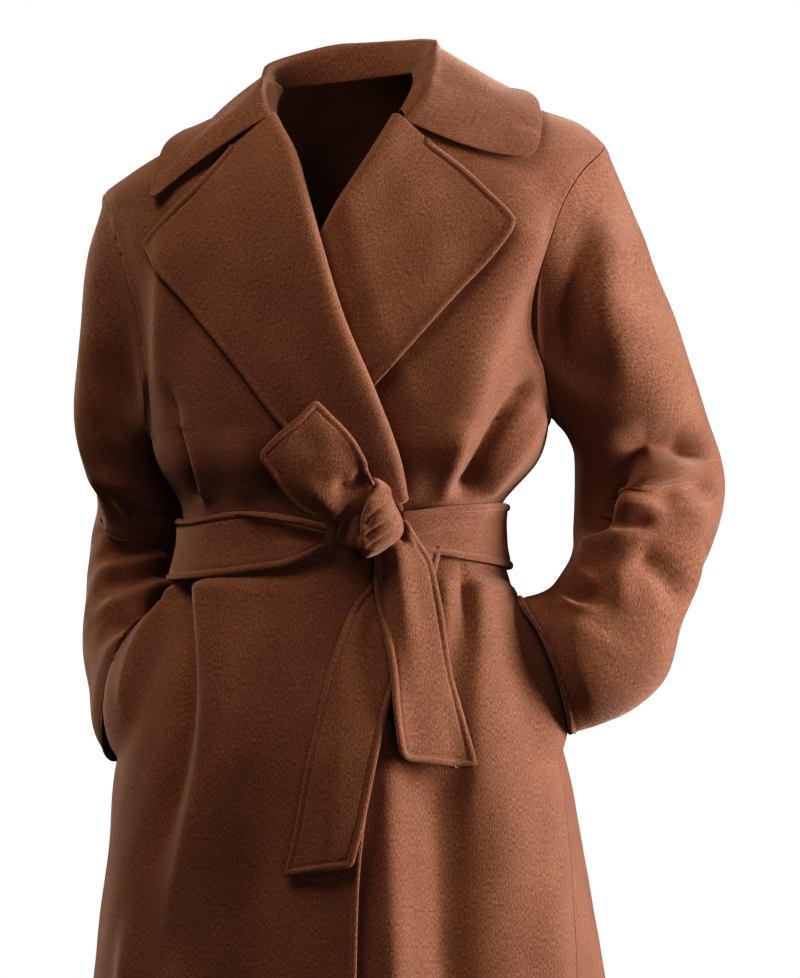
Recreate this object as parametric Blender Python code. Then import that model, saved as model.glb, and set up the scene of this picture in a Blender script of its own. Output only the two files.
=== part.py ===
"""Wool wrap coat, worn open at the neck and tied at the waist, with both sleeves bent to the side pockets.

Metres, +Z up. The coat faces -Y, and +X is the wearer's left. The origin is at the base of the neck, where
the wearer's neck and shoulders hold the coat up. Every piece is a thin shell of double-faced wool.
"""

import math

import bmesh
import bpy
import numpy as np

for old in list(bpy.data.objects):
    bpy.data.objects.remove(old, do_unlink=True)

# Cloth and seams
CLOTH = 0.0026  # thickness of the double-faced wool
SEAM_GAP = 0.0003  # between pieces that are sewn edge to edge
SQUARENESS = 2.3  # exponent of the body's sections: 2 is an ellipse

# Levels of the body's main lines
HEM = -1.12
POCKET_FOOT = -0.672
POCKET_HEAD = -0.515
BELT = -0.455
ARMPIT = -0.34
SHOULDER_TIP = -0.0845
NECK = 0.008

# How many strips each panel is divided into
SHOULDER_ROWS = 4
ARMHOLE_ROWS = 9
FRONT_COLUMNS = 11
BACK_COLUMNS = 16
SLEEVE_ROWS = 14

WOOL = (0.155, 0.060, 0.031, 1.0)
WOOL_ROUGHNESS = 0.92


def table(columns, *rows):
    """A table as a dictionary of named columns."""
    names = columns.split()
    return {name: np.array([row[k] for row in rows], float) for k, name in enumerate(names)}


# The body's sections: half widths to the wearer's right and left, depths to the front and back of the
# sleeve line, and how much the section climbs towards the left (the coat is worn with one shoulder up).
BODY = table(
    "level  tilt   right  left   front  back",
    (-1.120, 0.000, 0.270, 0.282, 0.200, 0.190),
    (-0.980, 0.000, 0.259, 0.269, 0.192, 0.183),
    (-0.893, 0.000, 0.251, 0.259, 0.186, 0.177),
    (-0.760, 0.000, 0.238, 0.238, 0.174, 0.168),
    (-0.660, 0.000, 0.224, 0.217, 0.163, 0.158),
    (-0.580, 0.000, 0.197, 0.194, 0.152, 0.143),
    (-0.510, 0.000, 0.176, 0.170, 0.134, 0.117),
    (-0.455, 0.000, 0.162, 0.155, 0.122, 0.101),
    (-0.418, 0.005, 0.164, 0.158, 0.127, 0.108),
    (-0.380, 0.020, 0.184, 0.192, 0.146, 0.130),
    (-0.330, 0.040, 0.197, 0.206, 0.152, 0.140),
    (-0.240, 0.065, 0.212, 0.222, 0.151, 0.142),
    (-0.160, 0.080, 0.232, 0.246, 0.141, 0.138),
    (-0.110, 0.087, 0.240, 0.260, 0.128, 0.130),
    (-0.0845, 0.090, 0.238, 0.260, 0.118, 0.122),
    (-0.071, 0.094, 0.219, 0.245, 0.112, 0.118),
    (-0.058, 0.098, 0.197, 0.226, 0.106, 0.113),
    (-0.046, 0.100, 0.171, 0.200, 0.100, 0.108),
    (-0.034, 0.105, 0.143, 0.169, 0.093, 0.102),
    (-0.020, 0.110, 0.113, 0.132, 0.085, 0.096),
    (-0.006, 0.115, 0.090, 0.104, 0.075, 0.088),
    (0.008, 0.120, 0.074, 0.084, 0.064, 0.078),
)

# Bearings of the side seams, in degrees from the centre front
SIDE_SEAMS = table(
    "level  right  left",
    (-1.120, -99.0, 63.0),
    (-0.893, -96.0, 66.0),
    (-0.667, -90.0, 76.0),
    (-0.515, -88.0, 80.0),
    (-0.455, -89.0, 83.0),
    (-0.340, -90.0, 90.0),
)

# How far round from the shoulder each armhole reaches, in degrees
ARMHOLE_REACH = {"right": {"front": 17.0, "back": 22.0}, "left": {"front": 26.0, "back": 22.0}}

# The front edge of the upper front: its roll line down to the belt, then the free edge to the hem
EDGE_RIGHT = table(
    "level  x",
    (-1.120, 0.008),
    (-0.893, 0.012),
    (-0.776, 0.016),
    (-0.640, 0.034),
    (-0.500, 0.054),
    (-0.427, 0.058),
    (-0.402, 0.052),
    (-0.313, 0.021),
    (-0.243, -0.008),
    (-0.170, -0.030),
    (-0.114, -0.045),
    (-0.067, -0.059),
    (-0.043, -0.071),
    (0.000, -0.078),
    (0.008, -0.071),
)

# The same edge of the front that lies underneath
EDGE_LEFT = table(
    "level  x",
    (-1.120, -0.105),
    (-0.500, -0.105),
    (-0.420, -0.108),
    (-0.300, -0.094),
    (-0.240, -0.070),
    (-0.170, -0.030),
    (-0.114, 0.010),
    (-0.067, 0.043),
    (-0.042, 0.059),
    (0.000, 0.082),
    (0.008, 0.080),
)


def between(at, values, where):
    """A smooth cubic through the rows of a table."""
    where = np.asarray(where, float)
    slope = np.gradient(values, at)
    k = np.clip(np.searchsorted(at, where, side="right") - 1, 0, len(at) - 2)
    step = at[k + 1] - at[k]
    t = np.clip((where - at[k]) / step, 0.0, 1.0)
    start = (2 * t**3 - 3 * t**2 + 1) * values[k] + (t**3 - 2 * t**2 + t) * step * slope[k]
    end = (3 * t**2 - 2 * t**3) * values[k + 1] + (t**3 - t**2) * step * slope[k + 1]
    return start + end


def ease(low, high, value):
    """0 below low, 1 above high, and a soft step between."""
    t = np.clip((np.asarray(value, float) - low) / (high - low), 0.0, 1.0)
    return t * t * (3 - 2 * t)


def section(level):
    """The body's sizes at a level."""
    return {name: between(BODY["level"], BODY[name], level) for name in BODY if name != "level"}


def reach(sizes, bearing):
    """Distance of the section's outline from its middle, at a bearing in radians."""
    wide = np.where(np.sin(bearing) < 0, sizes["right"], sizes["left"])
    deep = np.where(np.cos(bearing) > 0, sizes["front"], sizes["back"])
    across = np.abs(np.sin(bearing) / wide) ** SQUARENESS
    along = np.abs(np.cos(bearing) / deep) ** SQUARENESS
    return (across + along) ** (-1 / SQUARENESS)


def form(bearing, level):
    """A point on the body's smooth form: bearing in degrees, 0 at the centre front, 90 at the left side."""
    bearing = np.radians(bearing)
    sizes = section(level)
    far = reach(sizes, bearing)
    x = far * np.sin(bearing)
    return np.stack([x, -far * np.cos(bearing), level + sizes["tilt"] * x], axis=-1)


def outward(bearing, level):
    """The form's unit normal."""
    across = form(bearing + 0.5, level) - form(bearing - 0.5, level)
    up = form(bearing, level + 0.002) - form(bearing, level - 0.002)
    normal = np.cross(across, up)
    return normal / np.linalg.norm(normal, axis=-1, keepdims=True)


def body(bearing, level, lift=0.0):
    """A point of the body, moved out along its normal."""
    bearing, level, lift = np.broadcast_arrays(bearing, level, lift)
    return form(bearing, level) + lift[..., None] * outward(bearing, level)


def level_of(x, z):
    """The level whose section passes through a point seen from the front."""
    level = z
    for _ in range(4):
        level = z - section(np.clip(level, HEM, NECK))["tilt"] * x
    return level


def bearing_at(x, level):
    """The bearing on the front half where the form has this x."""
    tries = np.linspace(-89.0, 89.0, 357)
    found = [np.interp(a, form(tries, b)[:, 0], tries) for a, b in zip(np.ravel(x), np.ravel(level))]
    return np.array(found).reshape(np.shape(x))


def armhole_bearing(side, face, level):
    """Where the armhole's edge crosses a level, on the front or the back."""
    sign = -1.0 if side == "right" else 1.0
    towards_front = 1.0 if face == "front" else -1.0
    half = (SHOULDER_TIP - ARMPIT) / 2
    height = np.clip((level - (SHOULDER_TIP + ARMPIT) / 2) / half, -1.0, 1.0)
    return sign * (90.0 - towards_front * ARMHOLE_REACH[side][face] * np.sqrt(1 - height**2))


def side_bearing(side, face, level):
    """The outer edge of a panel: side seam, then armhole, then shoulder seam."""
    seam = between(SIDE_SEAMS["level"], SIDE_SEAMS[side], level)
    return np.where(level < ARMPIT, seam, armhole_bearing(side, face, level))


# Where the rows of the panels cross the coat below the armholes, close together at the waist
LOWER_ROWS = (HEM, -1.03, -0.93, -0.83, -0.74, -0.66, -0.60, -0.55, -0.51, -0.485, -0.455, -0.422, -0.39, -0.365)


def panel_levels():
    """The rows of every body panel, close together also at both ends of the armhole."""
    turn = np.linspace(math.pi, 0.0, ARMHOLE_ROWS + 1)[:-1]
    armhole = (SHOULDER_TIP + ARMPIT) / 2 + (SHOULDER_TIP - ARMPIT) / 2 * np.cos(turn)
    shoulder = np.linspace(SHOULDER_TIP, NECK, SHOULDER_ROWS + 1)
    return np.concatenate([LOWER_ROWS, armhole, shoulder])


POCKET_REACH = 0.055  # how far from the side seam a pocket opening pushes the cloth
POCKET_GAPE = {"right": 0.014, "left": 0.006}  # the front's edge stands off this far at the opening
POCKET_SINK = {"right": 0.020, "left": 0.008}  # and the back's edge goes in this far


def pocket_gape(side, level):
    """How far the front's edge stands off at the pocket opening, which the side seam leaves unsewn."""
    middle = (POCKET_HEAD + POCKET_FOOT) / 2
    half = (POCKET_HEAD - POCKET_FOOT) / 2
    return POCKET_GAPE[side] * np.clip(1 - ((level - middle) / half) ** 2, 0.0, 1.0) ** 0.8


def wool(name):
    """The coat's one cloth: brown double-faced wool."""
    material = bpy.data.materials.new(name + "_wool")
    material.use_nodes = True
    shader = material.node_tree.nodes["Principled BSDF"]
    shader.inputs["Base Color"].default_value = WOOL
    shader.inputs["Roughness"].default_value = WOOL_ROUGHNESS
    shader.inputs["Metallic"].default_value = 0.0
    return material


# ---------------------------------------------------------------- folds
# Each fold runs from its first point, bending towards the second, to its third, in the front's own plane.
# A ridge has a positive height and a trough a negative one.
FRONT_FOLDS = table(
    "x0     z0      x1      z1      x2      z2      height  width",
    (0.223, -0.087, 0.185, -0.210, 0.118, -0.380, 0.008, 0.022),
    (0.190, -0.290, 0.165, -0.340, 0.122, -0.410, -0.008, 0.016),
    (-0.175, -0.310, -0.158, -0.370, -0.146, -0.415, 0.006, 0.014),
    (-0.140, -0.490, -0.136, -0.700, -0.190, -0.880, 0.009, 0.024),
    (-0.166, -0.500, -0.196, -0.580, -0.222, -0.660, 0.006, 0.018),
    (0.116, -0.480, 0.120, -0.560, 0.125, -0.660, -0.008, 0.016),
    (0.140, -0.490, 0.150, -0.640, 0.165, -0.830, 0.007, 0.024),
    (0.062, -0.640, 0.066, -0.850, 0.075, -1.110, 0.008, 0.026),
    (-0.062, -0.620, -0.068, -0.850, -0.080, -1.110, 0.007, 0.030),
)
BACK_FOLDS = table(
    "x0     z0      x1      z1      x2      z2      height  width",
    (-0.120, -0.200, -0.100, -0.320, -0.062, -0.400, 0.007, 0.022),
    (0.135, -0.210, 0.110, -0.320, 0.070, -0.405, 0.008, 0.022),
    (0.010, -0.300, 0.004, -0.360, 0.000, -0.410, 0.006, 0.018),
    (-0.070, -0.500, -0.092, -0.760, -0.110, -1.110, 0.011, 0.032),
    (0.055, -0.500, 0.070, -0.760, 0.085, -1.110, 0.012, 0.034),
    (0.150, -0.560, 0.176, -0.800, 0.195, -1.110, 0.008, 0.028),
    (-0.160, -0.600, -0.190, -0.800, -0.205, -1.110, 0.008, 0.028),
)
FOLD_STEPS = 10


def raised(folds, x, z):
    """The height of the folds at points of a panel, seen square on."""
    total = np.zeros(np.shape(x))
    along = np.linspace(0.0, 1.0, FOLD_STEPS + 1)
    for k in range(len(folds["x0"])):
        path = [
            (1 - along) ** 2 * folds[c + "0"][k]
            + 2 * along * (1 - along) * folds[c + "1"][k]
            + along**2 * folds[c + "2"][k]
            for c in "xz"
        ]
        nearest = np.full(np.shape(x), np.inf)
        place = np.zeros(np.shape(x))
        for step in range(FOLD_STEPS):
            ax, az = path[0][step], path[1][step]
            bx, bz = path[0][step + 1] - ax, path[1][step + 1] - az
            t = np.clip(((x - ax) * bx + (z - az) * bz) / (bx * bx + bz * bz), 0.0, 1.0)
            gap = np.hypot(x - ax - t * bx, z - az - t * bz)
            place = np.where(gap < nearest, (step + t) / FOLD_STEPS, place)
            nearest = np.minimum(nearest, gap)
        swell = np.sin(math.pi * np.clip(place, 0.02, 0.98)) ** 0.6
        total += folds["height"][k] * swell * np.exp(-((nearest / folds["width"][k]) ** 2))
    return total


def off_belt(level):
    """0 under the belt, which presses every fold flat, and 1 well clear of it."""
    return ease(0.040, 0.085, np.abs(level - BELT))


def front_lift(bearing, level):
    """The fronts' folds, fading out before the sides."""
    point = form(bearing, level)
    free = ease(88.0, 70.0, np.abs(bearing)) * off_belt(level)
    return raised(FRONT_FOLDS, point[..., 0], point[..., 2]) * free


def back_lift(bearing, level):
    """The back's folds, fading out before the sides."""
    point = form(bearing, level)
    free = ease(92.0, 112.0, np.abs(bearing)) * off_belt(level)
    return raised(BACK_FOLDS, point[..., 0], point[..., 2]) * free


# ---------------------------------------------------------------- shells


def shell_object(name, outer, inner, closed=False):
    """One closed body between two grids of points: the cloth's outer face and its inner face."""
    rows, columns = outer.shape[:2]
    count = rows * columns
    strips = columns if closed else columns - 1
    faces = []
    for r in range(rows - 1):
        for c in range(strips):
            d = (c + 1) % columns
            quad = (r * columns + c, r * columns + d, (r + 1) * columns + d, (r + 1) * columns + c)
            faces.append(quad)
            faces.append(tuple(count + corner for corner in reversed(quad)))
    rim = [((0, c), (0, (c + 1) % columns)) for c in range(strips)]
    rim += [((rows - 1, (c + 1) % columns), (rows - 1, c)) for c in range(strips)]
    if not closed:
        rim += [((r + 1, 0), (r, 0)) for r in range(rows - 1)]
        rim += [((r, columns - 1), (r + 1, columns - 1)) for r in range(rows - 1)]
    for first, second in rim:
        a = first[0] * columns + first[1]
        b = second[0] * columns + second[1]
        faces.append((b, a, count + a, count + b))
    points = np.concatenate([outer.reshape(-1, 3), inner.reshape(-1, 3)])
    mesh = bpy.data.meshes.new(name)
    mesh.from_pydata(points.tolist(), [], faces)
    mesh.shade_smooth()
    mesh.set_sharp_from_angle(angle=math.radians(50))
    mesh.materials.append(wool(name))
    piece = bpy.data.objects.new(name, mesh)
    bpy.context.scene.collection.objects.link(piece)
    return piece


def grid_normals(points, closed=False):
    """Unit normals of a grid, which point out where its columns run anticlockwise seen from above."""
    if closed:
        across = np.roll(points, -1, axis=1) - np.roll(points, 1, axis=1)
    else:
        across = np.gradient(points, axis=1)
    normal = np.cross(across, np.gradient(points, axis=0))
    return normal / np.linalg.norm(normal, axis=-1, keepdims=True)


# ---------------------------------------------------------------- body panels


def spread(start, end, count):
    """Rows from start to end, evenly divided."""
    share = np.linspace(0.0, 1.0, count + 1)
    return start[:, None] * (1 - share) + end[:, None] * share


def seam_turn(bearing, level):
    """Half a seam's gap as a turn in degrees."""
    return np.degrees(SEAM_GAP / 2 / reach(section(level), np.radians(bearing)))


def front_panel(side, lift_under):
    """Bearings and levels of a front's grid, from its left edge to its right as it is seen."""
    level = panel_levels()
    edge = EDGE_RIGHT if side == "right" else EDGE_LEFT
    inner = bearing_at(between(edge["level"], edge["x"], level), level)
    outer = side_bearing(side, "front", level)
    sign = -1.0 if side == "right" else 1.0
    outer = outer - sign * seam_turn(outer, level)
    start, end = (outer, inner) if side == "right" else (inner, outer)
    bearing = spread(start, end, FRONT_COLUMNS)
    level = np.broadcast_to(level[:, None], bearing.shape)
    near_side = 1 - ease(0.0, POCKET_REACH, reach_along(outer, level, bearing))
    lift = front_lift(bearing, level) + lift_under(bearing, level) + near_side * pocket_gape(side, level)
    name = "front_" + side
    return shell_object(name, body(bearing, level, lift), body(bearing, level, lift - CLOTH))


def reach_along(edge, level, bearing):
    """Distance along the level from a panel's side edge."""
    far = reach(section(level), np.radians(bearing))
    return far * np.radians(np.abs(bearing - edge[:, None]))


UPPER_RISE = 0.0042  # the upper front's inner edge stands this far off the form
UNDER_DROP = -0.0078  # the under front lies this far inside it, where the upper front covers it


def upper_lift(bearing, level):
    """The upper front rises towards its inner edge."""
    x = form(bearing, level)[..., 0]
    edge = between(EDGE_RIGHT["level"], EDGE_RIGHT["x"], level)
    return UPPER_RISE * (1 - ease(0.02, 0.12, edge - x)) * ease(-0.06, -0.15, level)


def under_lift(bearing, level):
    """The under front sinks where it passes beneath the upper one."""
    x = form(bearing, level)[..., 0]
    edge = between(EDGE_RIGHT["level"], EDGE_RIGHT["x"], level)
    return UNDER_DROP * (1 - ease(0.0, 0.05, x - edge)) * ease(-0.08, -0.155, level)


def back_rise(bearing, level):
    """The back's folds, and how far it sinks in behind each pocket opening."""
    total = back_lift(bearing, level)
    for side, sign in (("right", -1.0), ("left", 1.0)):
        seam = np.abs(side_bearing(side, "back", level))
        behind = reach(section(level), np.radians(bearing)) * np.radians(np.abs(bearing) - seam)
        near_side = (1 - ease(0.0, POCKET_REACH, behind)) * (bearing * sign > 0)
        total = total - near_side * POCKET_SINK[side] / POCKET_GAPE[side] * pocket_gape(side, level)
    return total


def back_panel():
    """The back, from the left side seam round to the right."""
    level = panel_levels()
    start = side_bearing("left", "back", level)
    end = 360.0 + side_bearing("right", "back", level)
    start = start + seam_turn(start, level)
    end = end - seam_turn(end, level)
    bearing = spread(start, end, BACK_COLUMNS)
    level = np.broadcast_to(level[:, None], bearing.shape)
    lift = back_rise(np.where(bearing > 180.0, bearing - 360.0, bearing), level)
    return shell_object("back", body(bearing, level, lift), body(bearing, level, lift - CLOTH))


# ---------------------------------------------------------------- sleeves
# Rungs across each sleeve from the armhole to the cuff: where its outer and inner outlines are, how far
# back its middle and how far its outer side leans forward, and its half depth.
SLEEVES = {
    "left": table(
        "outer_x outer_z inner_x inner_z middle  lean    depth",
        (0.260, -0.061, 0.205, -0.340, 0.000, 0.000, 0.095),
        (0.284, -0.118, 0.211, -0.345, 0.004, 0.000, 0.094),
        (0.307, -0.176, 0.218, -0.349, 0.009, 0.000, 0.091),
        (0.330, -0.231, 0.224, -0.356, 0.015, 0.000, 0.088),
        (0.349, -0.285, 0.229, -0.370, 0.022, 0.004, 0.084),
        (0.363, -0.333, 0.230, -0.393, 0.028, 0.008, 0.081),
        (0.378, -0.375, 0.230, -0.420, 0.030, 0.010, 0.079),
        (0.381, -0.410, 0.229, -0.446, 0.024, 0.006, 0.077),
        (0.369, -0.450, 0.228, -0.466, 0.010, 0.000, 0.075),
        (0.356, -0.492, 0.222, -0.482, -0.010, -0.006, 0.071),
        (0.344, -0.536, 0.212, -0.494, -0.032, -0.010, 0.066),
        (0.322, -0.588, 0.204, -0.502, -0.054, -0.010, 0.060),
        (0.290, -0.620, 0.194, -0.507, -0.070, -0.006, 0.052),
        (0.256, -0.636, 0.183, -0.510, -0.080, -0.002, 0.044),
        (0.221, -0.648, 0.170, -0.512, -0.084, 0.000, 0.036),
    ),
    "right": table(
        "outer_x outer_z inner_x inner_z middle  lean    depth",
        (-0.238, -0.106, -0.196, -0.352, 0.000, 0.000, 0.092),
        (-0.244, -0.150, -0.192, -0.360, 0.018, 0.000, 0.093),
        (-0.246, -0.200, -0.186, -0.368, 0.040, 0.000, 0.092),
        (-0.246, -0.255, -0.180, -0.378, 0.064, 0.000, 0.090),
        (-0.246, -0.308, -0.174, -0.390, 0.088, 0.000, 0.088),
        (-0.246, -0.350, -0.168, -0.403, 0.112, 0.000, 0.086),
        (-0.245, -0.386, -0.163, -0.417, 0.133, 0.004, 0.084),
        (-0.243, -0.418, -0.160, -0.432, 0.146, 0.010, 0.082),
        (-0.238, -0.455, -0.160, -0.449, 0.147, 0.016, 0.078),
        (-0.236, -0.498, -0.163, -0.468, 0.136, 0.022, 0.072),
        (-0.242, -0.545, -0.168, -0.486, 0.114, 0.030, 0.064),
        (-0.249, -0.590, -0.175, -0.502, 0.090, 0.036, 0.056),
        (-0.249, -0.626, -0.182, -0.515, 0.066, 0.040, 0.049),
        (-0.245, -0.655, -0.188, -0.526, 0.044, 0.040, 0.042),
        (-0.233, -0.677, -0.193, -0.534, 0.024, 0.036, 0.035),
    ),
}
SLEEVE_CLEARANCE = 0.005
ARMHOLE_GAP = 0.0012  # the sleeve turns down from the shoulder, so its seam needs more room than a flat one
JOINED_RUNGS = 4.0  # the armhole's outline turns into the rungs' ovals over this many


def armhole_loop(side):
    """The armhole's edge as a ring: from the shoulder forward, under the arm and up the back."""
    turn = np.linspace(0.0, math.pi, ARMHOLE_ROWS + 1)
    level = (SHOULDER_TIP + ARMPIT) / 2 + (SHOULDER_TIP - ARMPIT) / 2 * np.cos(turn)
    forward = armhole_bearing(side, "front", level)
    backward = armhole_bearing(side, "back", level)
    bearing = np.concatenate([forward, backward[-2:0:-1]])
    level = np.concatenate([level, level[-2:0:-1]])
    return bearing, level, np.concatenate([turn, 2 * math.pi - turn[-2:0:-1]])


def sleeve_ovals(side, rung, turn):
    """The rungs' ovals: turn 0 is the outer side and a quarter turn is the front."""
    rungs = SLEEVES[side]
    at = np.arange(len(rungs["depth"]), dtype=float)
    row = {name: between(at, rungs[name], rung)[:, None] for name in rungs}
    outer = np.concatenate([row["outer_x"], row["middle"] + row["lean"] / 2, row["outer_z"]], axis=1)
    inner = np.concatenate([row["inner_x"], row["middle"] - row["lean"] / 2, row["inner_z"]], axis=1)
    middle = (outer + inner) / 2
    half = (outer - inner) / 2
    along = np.gradient(middle, axis=0)
    forward = np.cross(along, half)
    forward *= np.sign((forward * [0.0, -1.0, 0.0]).sum(axis=1, keepdims=True))
    forward /= np.linalg.norm(forward, axis=1, keepdims=True)
    ring = half[:, None] * np.cos(turn)[..., None] + (forward * row["depth"])[:, None] * np.sin(turn)[..., None]
    return middle[:, None] + ring


def panel_lift(bearing, level):
    """How far the body's panels stand off the form at any bearing."""
    on_right = bearing < 0
    seam = np.where(on_right, side_bearing("right", "front", level), side_bearing("left", "front", level))
    gape = np.where(on_right, pocket_gape("right", level), pocket_gape("left", level))
    ahead = np.maximum(front_lift(bearing, level), 0.0) + gape
    return np.where(np.abs(bearing) < np.abs(seam), ahead, back_rise(bearing, level))


def clear_of_body(points, clearance):
    """Pushes points that would touch the body out from its middle line."""
    bearing = np.degrees(np.arctan2(points[..., 0], -points[..., 1]))
    level = np.clip(level_of(points[..., 0], points[..., 2]), HEM, NECK)
    far = np.hypot(points[..., 0], points[..., 1])
    least = reach(section(level), np.radians(bearing)) + clearance + panel_lift(bearing, level)
    push = np.maximum(least / far, 1.0)
    return points * np.stack([push, push, np.ones_like(push)], axis=-1)


def sleeve(side):
    """A drop-shoulder sleeve, from the armhole to the open cuff at the pocket."""
    bearing, level, turn = armhole_loop(side)
    count = len(SLEEVES[side]["depth"]) - 1
    rung = np.linspace(0.0, count, SLEEVE_ROWS + 1)
    away = -1.0 if side == "right" else 1.0
    start = body(bearing, level) + [away * ARMHOLE_GAP, 0.0, 0.0]
    ovals = sleeve_ovals(side, rung, turn)
    blend = ease(0.0, JOINED_RUNGS, rung)[:, None, None]
    shift = ovals - ovals[:1]
    outer = (start + shift) * (1 - blend) + ovals * blend
    clearance = SLEEVE_CLEARANCE * ease(-0.5, 1.5, rung)[:, None] - 1.0 * (rung[:, None] == 0)
    outer = clear_of_body(outer, clearance)
    if side == "left":
        outer = outer[:, ::-1]
    outer = outer[::-1]
    inner = outer - CLOTH * grid_normals(outer, closed=True)
    sewn = start - CLOTH * outward(bearing, level)
    over = ease(-0.6, 0.3, np.cos(turn))[:, None]
    if side == "left":
        sewn, over = sewn[::-1], over[::-1]
    inner[-1] = inner[-1] * (1 - over) + sewn * over
    return shell_object("sleeve_" + side, outer, inner, closed=True)


front_panel("right", upper_lift)
front_panel("left", under_lift)
back_panel()
sleeve("left")
sleeve("right")


# ---------------------------------------------------------------- lapels
# Rows down each lapel, from the break at the belt up to the gorge: the roll line and the outer edge.
LAPELS = {
    "right": table(
        "roll_x roll_z  edge_x  edge_z",
        (0.055, -0.412, 0.040, -0.418),
        (0.040, -0.368, -0.014, -0.388),
        (0.018, -0.306, -0.060, -0.345),
        (-0.006, -0.248, -0.106, -0.284),
        (-0.026, -0.184, -0.151, -0.225),
        (-0.040, -0.130, -0.194, -0.168),
        (-0.048, -0.105, -0.193, -0.155),
        (-0.056, -0.080, -0.164, -0.124),
        (-0.063, -0.060, -0.138, -0.098),
        (-0.071, -0.043, -0.114, -0.072),
    ),
    "left": table(
        "roll_x roll_z  edge_x  edge_z",
        (-0.062, -0.228, 0.006, -0.330),
        (-0.048, -0.203, 0.034, -0.300),
        (-0.032, -0.174, 0.070, -0.259),
        (-0.014, -0.146, 0.106, -0.217),
        (0.002, -0.123, 0.140, -0.178),
        (0.014, -0.107, 0.161, -0.147),
        (0.024, -0.094, 0.160, -0.133),
        (0.036, -0.076, 0.142, -0.112),
        (0.047, -0.058, 0.118, -0.089),
        (0.059, -0.042, 0.087, -0.066),
    ),
}
ROLL_HEIGHT = {"right": 0.0085, "left": 0.0065}  # how far the soft roll stands off the front
LAPEL_LIFT = 0.0060  # the lapels' outer faces, off the front they lie on
LEFT_ROLL_START = -0.120  # the left lapel's roll flattens between these heights, to pass under the right
LEFT_ROLL_END = -0.165
ROLL_CLEARANCE = 0.0014  # the turn of the cloth stays this far off the front's own edge
ROLL_TURNS = 4  # strips round the roll
LAPEL_COLUMNS = 6
LAPEL_ROWS = 12


def on_front(x, z, lift):
    """A point of the front's form under x and z, moved out."""
    level = level_of(x, z)
    return body(bearing_at(x, level), level, lift)


def front_normal(x, z):
    """The form's normal there."""
    level = level_of(x, z)
    return outward(bearing_at(x, level), level)


def panel_rise(side, x, z):
    """How far the front stands off the form under a lapel."""
    level = level_of(x, z)
    bearing = bearing_at(x, level)
    under = upper_lift(bearing, level) if side == "right" else under_lift(bearing, level)
    return under + front_lift(bearing, level)


def lapel(side):
    """A lapel: the cloth turns over at the roll line and lies back on the front."""
    rungs = LAPELS[side]
    last = len(rungs["roll_x"]) - 1
    row = np.linspace(0.0, last, LAPEL_ROWS + 1)
    at = np.arange(last + 1, dtype=float)
    roll_z = np.interp(row, at, rungs["roll_z"])
    edge = EDGE_RIGHT if side == "right" else EDGE_LEFT
    roll_x = between(edge["level"], edge["x"], level_of(np.interp(row, at, rungs["roll_x"]), roll_z))
    edge_x, edge_z = (np.interp(row, at, rungs[c]) for c in ("edge_x", "edge_z"))
    share = np.linspace(0.0, 1.0, LAPEL_COLUMNS + 1)
    x = roll_x[:, None] * (1 - share) + edge_x[:, None] * share
    z = roll_z[:, None] * (1 - share) + edge_z[:, None] * share
    away = np.hypot(x - roll_x[:, None], z - roll_z[:, None])
    width = np.hypot(edge_x - roll_x, edge_z - roll_z)
    soft = ease(0.0, 0.06, width) if side == "right" else ease(LEFT_ROLL_END, LEFT_ROLL_START, roll_z)
    roll_height = ROLL_HEIGHT[side] * soft[:, None]
    lift = LAPEL_LIFT + roll_height * np.exp(-((away / 0.028) ** 2)) + panel_rise(side, x, z)
    flat = on_front(x, z, lift)
    normal = front_normal(roll_x, roll_z)
    along = np.gradient(flat[:, 0], axis=0)
    away_from_lapel = np.cross(normal, along)
    away_from_lapel *= np.sign(((flat[:, 0] - flat[:, 1]) * away_from_lapel).sum(axis=1, keepdims=True))
    away_from_lapel /= np.linalg.norm(away_from_lapel, axis=1, keepdims=True)
    radius = (lift[:, :1] - panel_rise(side, x, z)[:, :1] + CLOTH) / 2
    turn = np.linspace(-math.pi / 2, math.pi / 2, ROLL_TURNS + 1)[:-1]
    middle = flat[:, 0] - radius * normal
    curl = middle[:, None] + radius[..., None] * (
        np.sin(turn)[:, None] * normal[:, None] + np.cos(turn)[:, None] * away_from_lapel[:, None]
    )
    outer = np.concatenate([curl, flat], axis=1) + ROLL_CLEARANCE * away_from_lapel[:, None]
    if side == "right":
        outer = outer[:, ::-1]
    inner = outer - CLOTH * grid_normals(outer)
    return shell_object("lapel_" + side, outer, inner)


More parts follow.
